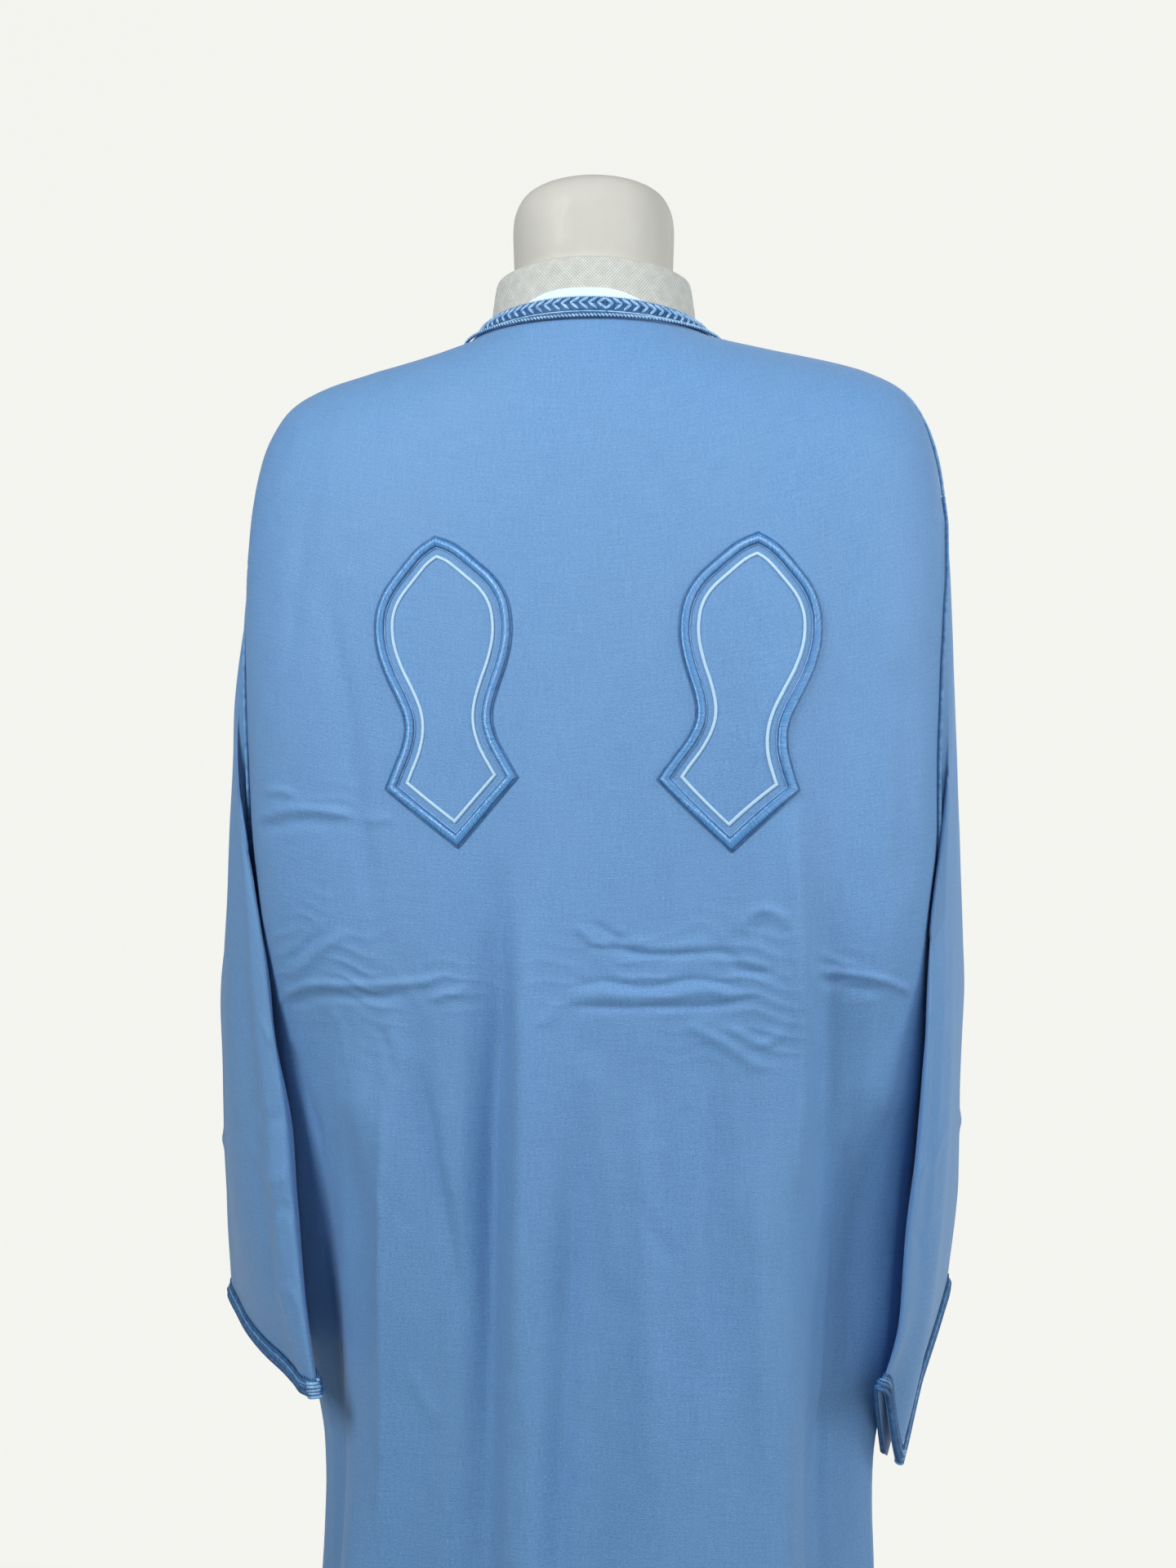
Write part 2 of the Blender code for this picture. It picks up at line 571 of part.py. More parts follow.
def sleeve_rings(body, side):
    """The sleeve's outer points, from the armhole to the cuff."""
    turns = sleeve_turns(side)
    loop, _ = armhole_loop(body, side, -SLEEVE_SEAM_GAP, 0.0, SLEEVE_END_GAP)
    table = named_columns(SLEEVE_COLUMNS, SLEEVE_SECTIONS[side])
    sections = len(SLEEVE_SECTIONS[side])
    rings = [loop]
    for section in range(sections):
        share = section / (sections - 1)
        power = 2 / (SLEEVE_SQUARE_TOP + (SLEEVE_SQUARE_CUFF - SLEEVE_SQUARE_TOP) * share)
        out_share = np.sign(np.cos(turns)) * np.abs(np.cos(turns)) ** power
        back_share = np.sign(np.sin(turns)) * np.abs(np.sin(turns)) ** power
        middle, out, back = (
            np.array([table[prefix + axis][section] for axis in "xyz"])
            for prefix in ("", "out_", "back_")
        )
        ring = middle + out_share[:, None] * out + back_share[:, None] * back
        away = unit(ring - middle - 0.8 * back_share[:, None] * back)
        for at_top, at_cuff, width, depth in SLEEVE_FOLDS[side]:
            at = math.radians(at_top + (at_cuff - at_top) * share)
            apart = (turns - at + math.pi) % (2 * math.pi) - math.pi
            amount = depth * eased(0.2, 0.6, share) * np.exp(-((apart / math.radians(width)) ** 2))
            ring = ring + amount[:, None] * away
        start, over, drop, rise, shift = SLEEVE_TWISTS[side]
        grown = eased(start, 1.0, share)
        beyond = np.clip((back_share - over) / (1 - over), 0.0, 1.0)
        near = np.clip(1 - np.abs(back_share - over) / SLEEVE_TWIST_REACH, 0.0, 1.0)
        ring[:, 0] += grown * shift * beyond
        ring[:, 2] += grown * (rise * beyond - drop * near)
        rings.append(ring)
    return np.array(rings)


def smooth_rings(rings, count):
    """More rings through these, evenly spread, on smooth curves."""
    places = np.linspace(0, len(rings) - 1, count)
    return np.array([along(rings, np.float64(place)) for place in places])


def wall_normals(rings):
    """Outward directions of a tube of rings."""
    around = np.roll(rings, -1, axis=1) - np.roll(rings, 1, axis=1)
    down = np.gradient(rings, axis=0)
    normals = unit(np.cross(around, down))
    outward = rings - rings.mean(axis=1, keepdims=True)
    flip = np.sign((normals * outward).sum(axis=(1, 2)))
    return normals * flip[:, None, None]


def add_sleeve(body, side, collection):
    """One sleeve and the trim round its cuff."""
    rings = sleeve_rings(body, side)
    rings = smooth_rings(rings, round((len(rings) - 1) * SLEEVE_ROWS_EACH) + 1)
    normals = wall_normals(rings)
    points, faces = shell(rings, rings - CLOTH * normals, wraps=True)
    add_object("sleeve_" + side, points, faces, "crepe", collection)
    upwards = unit(rings[-2] - rings[-1])
    low = rings[-1] + upwards * GAP
    band = np.array([low + upwards * CUFF_BAND_WIDTH, low + upwards * CUFF_BAND_WIDTH / 2, low])
    outward = normals[-1] * CUFF_BAND_LIFT
    points, faces = shell(band + outward + normals[-1] * CUFF_BAND_THICK, band + outward, wraps=True)
    add_object("cuff_band_" + side, points, faces, "braid", collection)


def add_neck(body, collection):
    """The woven neck band, the pale strip inside it and the cord below it."""
    angles = np.linspace(-math.pi, math.pi, BAND_COLUMNS + 1)[:-1]
    stops = ((BAND_ROW, 0.0), (0.5, 0.0), (NECK_ROW, -BAND_SEAM_GAP))
    outer, inner = (
        np.array([body.at(row, angles, lift=lift, down=down) for row, down in stops])
        for lift in (BAND_LIFT, BAND_LIFT - BAND_THICK)
    )
    points, faces = shell(outer, inner, wraps=True)
    add_object("neck_band", points, faces, "braid", collection)

    behind = BAND_LIFT - BAND_THICK - GAP
    rise = STRIP_RISE_FRONT + (STRIP_RISE_BACK - STRIP_RISE_FRONT) * eased(-1, 0.2, np.cos(angles))
    walls = []
    for lift in (behind, behind - STRIP_THICK):
        low = body.at(0.5, angles, lift=lift)
        high = body.at(BAND_ROW, angles, lift=lift)
        top = high + np.stack([0 * rise, 0 * rise, rise], axis=-1)
        walls.append(np.array([top, high, low]))
    points, faces = shell(walls[0], walls[1], wraps=True)
    add_object("neck_strip", points, faces, "white_strip", collection)

    lift = NECK_CORD_RADIUS + NECK_CORD_LIFT
    path = body.at(NECK_ROW, angles, lift=lift, down=NECK_CORD_RADIUS + GAP)
    points, faces = cord(path, body.normal(NECK_ROW, angles), NECK_CORD_RADIUS, closed=True)
    add_object("neck_cord", points, faces, "cord", collection)


def add_seam_cords(body, side, collection):
    """The cords over one shoulder seam and round one armhole seam."""
    lift = SEAM_CORD_RADIUS + SEAM_CORD_LIFT
    top = ARMHOLE_TOP_ROW[side]
    first, last = NECK_ROW + 0.45, top - 0.22
    rows = np.array([first, *range(NECK_ROW + 1, top), last])
    angle = np.array([body.angle_at(row, SIDE_SIGN[side] * body.side_at(row)) for row in rows])
    path = body.at(rows, angle, lift=lift)
    points, faces = cord(path, body.normal(rows, angle), SEAM_CORD_RADIUS, closed=False)
    add_object("shoulder_cord_" + side, points, faces, "cord", collection)

    clear = ARMHOLE_CORD_CLEAR
    path, normals = armhole_loop(body, side, clear, lift, -clear)
    points, faces = cord(path, normals, SEAM_CORD_RADIUS, closed=True)
    add_object("armhole_cord_" + side, points, faces, "cord", collection)


def above_zero(line, values):
    """The stretch of a flat line where the values are above zero, ending where they cross it."""
    inside = np.flatnonzero(values > 0)
    ends = []
    for kept, left in ((inside[0], inside[0] - 1), (inside[-1], inside[-1] + 1)):
        share = values[left] / (values[left] - values[kept])
        ends.append(line[left] + (line[kept] - line[left]) * share)
    return np.concatenate([[ends[0]], line[inside[0] : inside[-1] + 1], [ends[1]]])


def spaced(line, count):
    """Evenly spaced points along a flat line, with its ends."""
    run = np.concatenate([[0.0], np.cumsum(np.linalg.norm(np.diff(line, axis=0), axis=1))])
    at = np.linspace(0, run[-1], count)
    return np.stack([np.interp(at, run, line[:, 0]), np.interp(at, run, line[:, 1])], axis=1)


def sole_line(inset):
    """The closed flat outline of a sandal figure, moved inwards with its corners kept sharp."""
    rows = np.array(SOLE_OUTLINE)
    share, half = np.insert(rows, range(1, len(rows)), (rows[1:] + rows[:-1]) / 2, axis=0).T
    flank = np.stack([half, (0.5 - share) * SOLE_LENGTH], axis=1)
    heel = np.array([flank[-1], (0.0, -0.5 * SOLE_LENGTH)])
    moved = []
    for line in (flank, heel):
        step = unit(np.gradient(line, axis=0))
        inward = np.stack([step[:, 1], -step[:, 0]], axis=1)
        over = SOLE_OVERRUN * step
        shifted = line + inset * inward
        moved.append(np.concatenate([[shifted[0] - over[0]], shifted, [shifted[-1] + over[-1]]]))
    flank, heel = moved
    within = (flank - heel[1]) @ inward[0]
    flank = above_zero(flank, np.minimum(flank[:, 0], within))
    tip = above_zero(heel, heel[:, 0])[-1]
    right = np.concatenate(
        [spaced(flank, SOLE_FLANK_POINTS), spaced(np.array([flank[-1], tip]), SOLE_HEEL_POINTS)[1:]]
    )
    return np.concatenate([right, right[1:-1][::-1] * np.array((-1.0, 1.0))])


def on_mesh(tree, point, normal):
    """The point and direction of the mesh under this place of the cloth."""
    start = Vector(point + SOLE_SEARCH * normal)
    place, facing = tree.ray_cast(start, Vector(-normal))[:2]
    return np.array(place), np.array(facing)


def add_sole(body, tree, side, kind, inset, width, rise, finish, collection):
    """One closed line of a sandal figure, lying on the back."""
    place = SOLE_PLACES[side]
    turn = math.radians(place["turn"])
    walls = []
    for shift in (inset - width / 2, inset + width / 2):
        flat = sole_line(shift)
        to_heel = 0.5 - flat[:, 1] / SOLE_LENGTH - SOLE_HEEL_SHARE
        flat[:, 0] += place["heel_shift"] * np.exp(-((to_heel / SOLE_HEEL_SPREAD) ** 2))
        across = place["across"] + flat[:, 0] * math.cos(turn) - flat[:, 1] * math.sin(turn)
        height = place["z"] + flat[:, 0] * math.sin(turn) + flat[:, 1] * math.cos(turn)
        spots = np.array([body.place(a, h) for a, h in zip(across, height)])
        points, normals = body.at(*spots.T), body.normal(*spots.T)
        walls.append([on_mesh(tree, p, n) for p, n in zip(points, normals)])
    low, top = (
        np.array([[spot + facing * lift for spot, facing in wall] for wall in walls])
        for lift in (SOLE_LIFT, SOLE_LIFT + rise)
    )
    points, faces = shell(top, low, wraps=True)
    add_object(f"sandal_{kind}_{side}", points, faces, finish, collection)


def add_soles(body, panel, collection):
    """The pair of sandal figures on the back."""
    tree = BVHTree.FromPolygons(
        [vertex.co.copy() for vertex in panel.data.vertices],
        [tuple(face.vertices) for face in panel.data.polygons],
    )
    for side in ("left", "right"):
        add_sole(body, tree, side, "border", 0.0, SOLE_BORDER, SOLE_BORDER_RISE,
                 "satin_stitch", collection)
        add_sole(body, tree, side, "line", SOLE_LINE_INSET, SOLE_LINE, SOLE_LINE_RISE,
                 "pale_stitch", collection)


def lathe(profile, sides):
    """Rings turned about the upright axis through radii and heights."""
    turns = np.arange(sides) * 2 * math.pi / sides
    return np.array(
        [np.stack([r * np.cos(turns), r * np.sin(turns), np.full(sides, z)], axis=1) for r, z in profile]
    )


def add_form(collection):
    """The limbless dress form, from the hips to its domed neck."""
    columns = named_columns(RING_COLUMNS, FORM_RINGS)
    angles = np.linspace(-math.pi, math.pi, FORM_COLUMNS + 1)[:-1]
    rows, turns = np.meshgrid(np.arange(len(FORM_RINGS), dtype=float), angles, indexing="ij")
    rings = ring_points(columns, rows, turns)
    points, faces = stack(rings)
    add_object("dress_form", points, faces, "form_cover", collection)


def add_stand(collection):
    """The base plate with its hub, and the pole up to the form."""
    profile = (
        (BASE_RADIUS, 0.0), (BASE_RADIUS, BASE_EDGE), (HUB_RADIUS * 1.6, BASE_MIDDLE),
        (HUB_RADIUS, BASE_MIDDLE + 0.008), (HUB_RADIUS * 0.8, HUB_TOP),
    )
    points, faces = stack(lathe(profile, STAND_SIDES))
    add_object("stand_base", points, faces, "steel", collection)
    hips = FORM_RINGS[0][3]
    profile = ((POLE_RADIUS, HUB_TOP + GAP), (POLE_RADIUS, hips - GAP))
    points, faces = stack(lathe(profile, POLE_SIDES))
    add_object("stand_pole", points, faces, "steel", collection)


def main():
    for obj in list(bpy.data.objects):
        bpy.data.objects.remove(obj, do_unlink=True)
    collection = bpy.data.collections.new("djellaba_on_form")
    bpy.context.scene.collection.children.link(collection)
    body = Body()
    back = add_panel(body, "back_panel", True, BACK_HALF_COLUMNS, collection)
    add_panel(body, "front_panel", False, FRONT_HALF_COLUMNS, collection)
    for side in ("left", "right"):
        add_sleeve(body, side, collection)
        add_seam_cords(body, side, collection)
    add_neck(body, collection)
    add_soles(body, back, collection)
    add_form(collection)
    add_stand(collection)


main()
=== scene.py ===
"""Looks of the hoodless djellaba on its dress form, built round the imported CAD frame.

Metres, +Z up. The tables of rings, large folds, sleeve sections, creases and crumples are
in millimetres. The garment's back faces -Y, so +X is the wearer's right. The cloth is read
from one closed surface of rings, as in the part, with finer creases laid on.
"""

import logging
import math
from collections.abc import Callable, Sequence
from dataclasses import dataclass, field
from enum import Enum

import bmesh
import bpy
import numpy as np
from mathutils import Matrix, Vector


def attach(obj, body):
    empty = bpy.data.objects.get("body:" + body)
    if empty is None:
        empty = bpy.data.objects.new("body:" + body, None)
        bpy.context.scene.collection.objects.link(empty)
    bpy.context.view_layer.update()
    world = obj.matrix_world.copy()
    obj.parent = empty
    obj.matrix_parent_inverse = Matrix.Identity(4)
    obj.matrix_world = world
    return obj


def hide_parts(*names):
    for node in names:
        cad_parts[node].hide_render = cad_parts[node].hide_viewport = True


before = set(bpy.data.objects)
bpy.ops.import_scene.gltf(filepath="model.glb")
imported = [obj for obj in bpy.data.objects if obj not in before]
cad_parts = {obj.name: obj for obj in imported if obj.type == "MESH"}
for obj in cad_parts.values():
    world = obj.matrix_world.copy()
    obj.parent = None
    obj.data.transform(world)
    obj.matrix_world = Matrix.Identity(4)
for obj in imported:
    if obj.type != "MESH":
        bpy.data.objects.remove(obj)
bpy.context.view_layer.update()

LOG = logging.getLogger("djellaba")
Array = np.ndarray
Number = Array | float
Rows = tuple[tuple[float, ...], ...]
Triple = tuple[float, float, float]
Colour = Triple
Made = bpy.types.Object
Material = bpy.types.Material
Socket = bpy.types.NodeSocket
Value = Socket | Colour | tuple[float, float, float, float] | float

MM = 1000
GAP = 0.0004
MERGE_DISTANCE = 1e-6
CREASE_REACH = 3
CREASE_STEPS = 6

# Wrinkles and streaks: the mean of a crest, the distance between crests, and the depth
CREST_MEAN = 0.3
WRINKLE_HEIGHT, SLANT_HEIGHT = 0.0125, 0.0210
WIDE_STREAK, WIDE_STREAK_DEPTH = 0.046, 0.0017
FINE_STREAK, FINE_STREAK_DEPTH = 0.0197, 0.0007

# Ripples all over the cloth: the depth, then for each of the two crossing waves its turns
# for each metre across and in height, and its start
RIPPLES = (
    (0.00045, (31, 9, 0), (-12, 17, 0.7)),
    (0.00030, (73, -21, 1.3), (22, 38, 0)),
    (0.00016, (141, 33, 2.1), (-47, 83, 0)),
)


class Side(Enum):
    """The garment's two sides, as seen from behind."""

    LEFT = -1
    RIGHT = 1

    @property
    def word(self) -> str:
        """The side's name as it ends a piece's name."""
        return self.name.lower()


class Slot(Enum):
    """The record's material slots."""

    CREPE = "crepe"
    BRAID = "braid"
    CORD = "cord"
    SATIN = "satin_stitch"
    PALE = "pale_stitch"
    STRIP = "white_strip"
    FORM = "form_cover"
    STEEL = "steel"


# Rings of the cloth, from the neck band's upper edge (row 0) and the neck seam (row 1)
# down to the hem: half width, reach to the back and the front, heights at the back, the
# sides and the front, squareness, and how round the front hangs.
RING_COLUMNS = (
    "half_width", "back", "front", "z_back", "z_side", "z_front", "square", "round_front",
)
BODY_RINGS: Rows = (
    (85.5, 82.5, 93, 1531.5, 1525, 1387, 2, 1),
    (96, 89, 100, 1516.5, 1513, 1360, 2, 1),
    (120, 98.5, 102.5, 1496, 1507, 1355, 2.1, 1.05),
    (150, 107.5, 105, 1473, 1500.5, 1349, 2.2, 1.12),
    (182, 115, 108, 1448, 1493, 1341, 2.3, 1.2),
    (211, 121, 111, 1420, 1484, 1331, 2.4, 1.3),
    (235, 125, 114, 1392, 1470, 1319, 2.5, 1.42),
    (250, 128, 117, 1364, 1448, 1306, 2.6, 1.55),
    (259, 130, 120, 1336, 1421, 1291, 2.7, 1.7),
    (264, 131.5, 123, 1306, 1388, 1275, 2.8, 1.85),
    (266.5, 132.5, 125.5, 1274, 1350, 1257, 2.9, 2),
    (267, 133, 128, 1238, 1305, 1233, 3, 2),
    (266.5, 133.5, 130, 1200, 1255, 1202, 3, 2),
    (265, 133.5, 131, 1156, 1198, 1162, 3, 2),
    (262, 133.5, 132, 1106, 1136, 1112, 3, 2),
    (256, 133, 133, 1052, 1070, 1056, 2.9, 2),
    (256, 132, 134, 990, 1000, 992, 2.2, 2),
    (247.5, 131, 135, 920, 920, 920, 2.05, 2),
    (239.3, 130, 136, 840, 840, 840, 2, 2),
    (230.8, 130, 138, 760, 760, 760, 2.05, 2),
    (213, 131, 141, 670, 670, 670, 2.25, 2),
    (214, 135, 146, 560, 560, 560, 2.3, 2),
    (219, 141, 152, 440, 440, 440, 2.3, 2),
    (226, 148, 159, 320, 320, 320, 2.3, 2),
    (233, 156, 166, 200, 200, 200, 2.3, 2),
    (238, 162, 172, 100, 100, 100, 2.3, 2),
)
BAND_ROW, NECK_ROW, ARMHOLE_BOTTOM_ROW = 0, 1, 15
HEM_ROW = len(BODY_RINGS) - 1
HEM_HEIGHT = BODY_RINGS[HEM_ROW][3] / MM
ARMHOLE_TOP_ROW = {Side.LEFT: 10, Side.RIGHT: 9}

# Large folds: distance across from the middle at the top and at the hem, the heights
# where the fold starts and is full, its width, and its depth outwards.
BACK_FOLDS: Rows = (
    (-150, -175, 1040, 800, 26, 22),
    (-208, -228, 1040, 700, 32, -17),
    (-100, -116, 640, 300, 30, -18),
    (-52, -62, 1220, 880, 18, -8),
    (-14, -36, 1340, 840, 24, 9),
    (22, 12, 1060, 800, 30, -9),
    (80, 76, 640, 300, 30, 16),
    (146, 160, 1420, 1200, 30, 8),
    (202, 196, 1420, 1200, 32, -10),
    (118, 120, 640, 300, 26, -14),
    (220, 226, 1040, 780, 36, -18),
)
FRONT_FOLDS: Rows = (
    (-190, -200, 1080, 700, 38, 20),
    (-135, -140, 1140, 740, 36, -18),
    (-82, -80, 1180, 660, 34, 17),
    (-28, -24, 1080, 580, 34, -15),
    (30, 36, 1140, 620, 34, 17),
    (86, 92, 1180, 700, 34, -17),
    (140, 148, 1100, 700, 36, 18),
    (200, 206, 1060, 700, 38, -18),
)

# Sleeves: each row is one section of the tube. It has three numbers each for its middle,
# the step from there to its outer face, and the step to its back edge.
SLEEVE_SECTIONS: dict[Side, Rows] = {
    Side.LEFT: (
        (-273.5, -1, 1186, -4.5, 0, 124, 6, -48, 0),
        (-277, -3, 1146, -10, -1, 102, 16, -58, 0),
        (-276.5, -8, 1104, -12.5, -2, 76, 26.8, -62, 0),
        (-275.8, -15, 1056, -13, -4, 50, 38.5, -66, 0),
        (-277.5, -19, 998, -10.5, -6, 28, 49, -68, 0),
        (-268.8, -20, 930, -15, -9, 10, 51.8, -72, 0),
        (-262.7, -25, 864, -14, -9, 0, 54.7, -76, -2),
        (-255, -30, 800, -12, -8, 0, 58, -81, -6),
        (-246.5, -36, 745, -9, -6, 0, 61.5, -80, -11.5),
    ),
    Side.RIGHT: (
        (267.5, 0, 1205, 2, 0, 142, -2, -45, 0),
        (269, 3, 1160, 3.5, 0, 114, -3, -50, 0),
        (270.5, 8, 1112, 5, -1, 86, -10.5, -57, 0),
        (269.5, 13, 1060, 6.2, -2, 56, -16.5, -67, 0),
        (268, 18, 1000, 9.5, -2, 30, -15.8, -79, 0),
        (264.2, 24, 930, 10.5, -2.5, 11, -17, -86, -6),
        (259.2, 30, 862, 10.5, -2.5, 0, -20.5, -90, -14),
        (253.2, 38, 790, 9, -2.5, 0, -24, -94, -36),
        (240, 47, 705.5, 4.5, -2, 0, -33.5, -98, -54.4),
    ),
}

# Lengthwise folds of the sleeves: turn at the top and the cuff, width in degrees, depth
SLEEVE_FOLDS: dict[Side, Rows] = {
    Side.LEFT: ((38, 42, 24, -0.0045), (-40, -46, 26, -0.0040)),
    Side.RIGHT: ((26, 28, 15, 0.0060), (62, 60, 18, -0.0035), (-50, -54, 26, -0.0045)),
}

# Twist at the cuff: from which share of the length on and at which share of the way to
# the back edge the cloth drops to a point, then the drop, the rise and the shift there
SLEEVE_TWISTS = {
    Side.LEFT: (0.80, 0.95, 0.0, 0.0, 0.0),
    Side.RIGHT: (0.80, 0.40, 0.017, 0.0875, 0.0110),
}
SLEEVE_TWIST_REACH = 0.5

# How far in the front half of each section of the sleeves is drawn
SLEEVE_PULLS = {
    Side.LEFT: (0.0, 0.0020, 0.0065, 0.0105, 0.0105, 0.0060, 0.0040, 0.0010, 0.0),
    Side.RIGHT: (0.0020, 0.0040, 0.0065, 0.0055, 0.0015, 0.0010, -0.0010, -0.0020, 0.0),
}

# Dress form, with the ring columns of the cloth, from the hips up
FORM_RINGS: Rows = (
    (170, 108, 100, 800, 800, 800, 2.3, 2),
    (175, 112, 104, 850, 850, 850, 2.3, 2),
    (168, 108, 104, 920, 920, 920, 2.3, 2),
    (142, 94, 100, 1020, 1020, 1020, 2.2, 2),
    (133, 87, 100, 1080, 1080, 1080, 2.2, 2),
    (142, 92, 105, 1150, 1150, 1150, 2.2, 2),
    (158, 100, 110, 1230, 1235, 1230, 2.3, 2),
    (170, 105, 108, 1290, 1310, 1285, 2.3, 2),
    (180, 108, 102, 1335, 1375, 1325, 2.3, 2),
    (192, 108.5, 96, 1370, 1425, 1355, 2.3, 2),
    (202, 108.5, 91.5, 1398, 1460, 1378, 2.3, 2),
    (203.5, 108.5, 88.5, 1412, 1475.5, 1392, 2.3, 2),
    (196, 108, 86, 1428, 1485.5, 1404, 2.3, 2),
    (181, 108, 84, 1442, 1490.8, 1415, 2.3, 2),
    (150, 102, 81.5, 1468, 1498.3, 1430, 2.2, 2),
    (120, 93.5, 79.5, 1491, 1504.8, 1445, 2.1, 2),
    (95, 84, 77, 1510, 1508, 1459, 2, 2),
    (80.5, 76.5, 75, 1529, 1521.5, 1478, 2, 2),
    (77, 73.5, 73, 1548, 1542, 1508, 2, 2),
    (74.5, 72, 71.5, 1562, 1558, 1534, 2, 2),
    (71.5, 69.5, 69, 1565.5, 1562, 1540, 2, 2),
    (61.5, 61.5, 61.5, 1566.5, 1563.5, 1543, 2, 2),
    (61.5, 61.5, 61.5, 1580, 1580, 1580, 2, 2),
    (62, 62, 62, 1604, 1604, 1604, 2, 2),
    (59.5, 59.5, 59.5, 1618, 1618, 1618, 2, 2),
    (52, 52, 52, 1629, 1629, 1629, 2, 2),
    (37, 37, 37, 1636, 1636, 1636, 2, 2),
    (18, 18, 18, 1638.5, 1638.5, 1638.5, 2, 2),
)

# Sandal figures: half the width of the border's middle line against the share of the
# length, from the pointed toe to the pointed heel. The heel's corner ends the curve.
SOLE_OUTLINE: Rows = (
    (0.000, 0.0000), (0.030, 0.0125), (0.085, 0.0255), (0.150, 0.0385), (0.215, 0.0455),
    (0.285, 0.0475), (0.355, 0.0460), (0.430, 0.0410), (0.500, 0.0345), (0.565, 0.0295),
    (0.620, 0.0285), (0.680, 0.0315), (0.740, 0.0375), (0.805, 0.0445),
)


@dataclass(frozen=True)
class Crease:
    """A crease laid on the cloth, in millimetres.

    Its stops are pairs of measures on the cloth, its depth is outwards, its width may change
    to another one at the end, and its ends fade over the taper's share of its length.
    """

    stops: tuple[float, ...]
    width: float
    depth: float
    width_end: float | None = None
    taper: float = 0.22


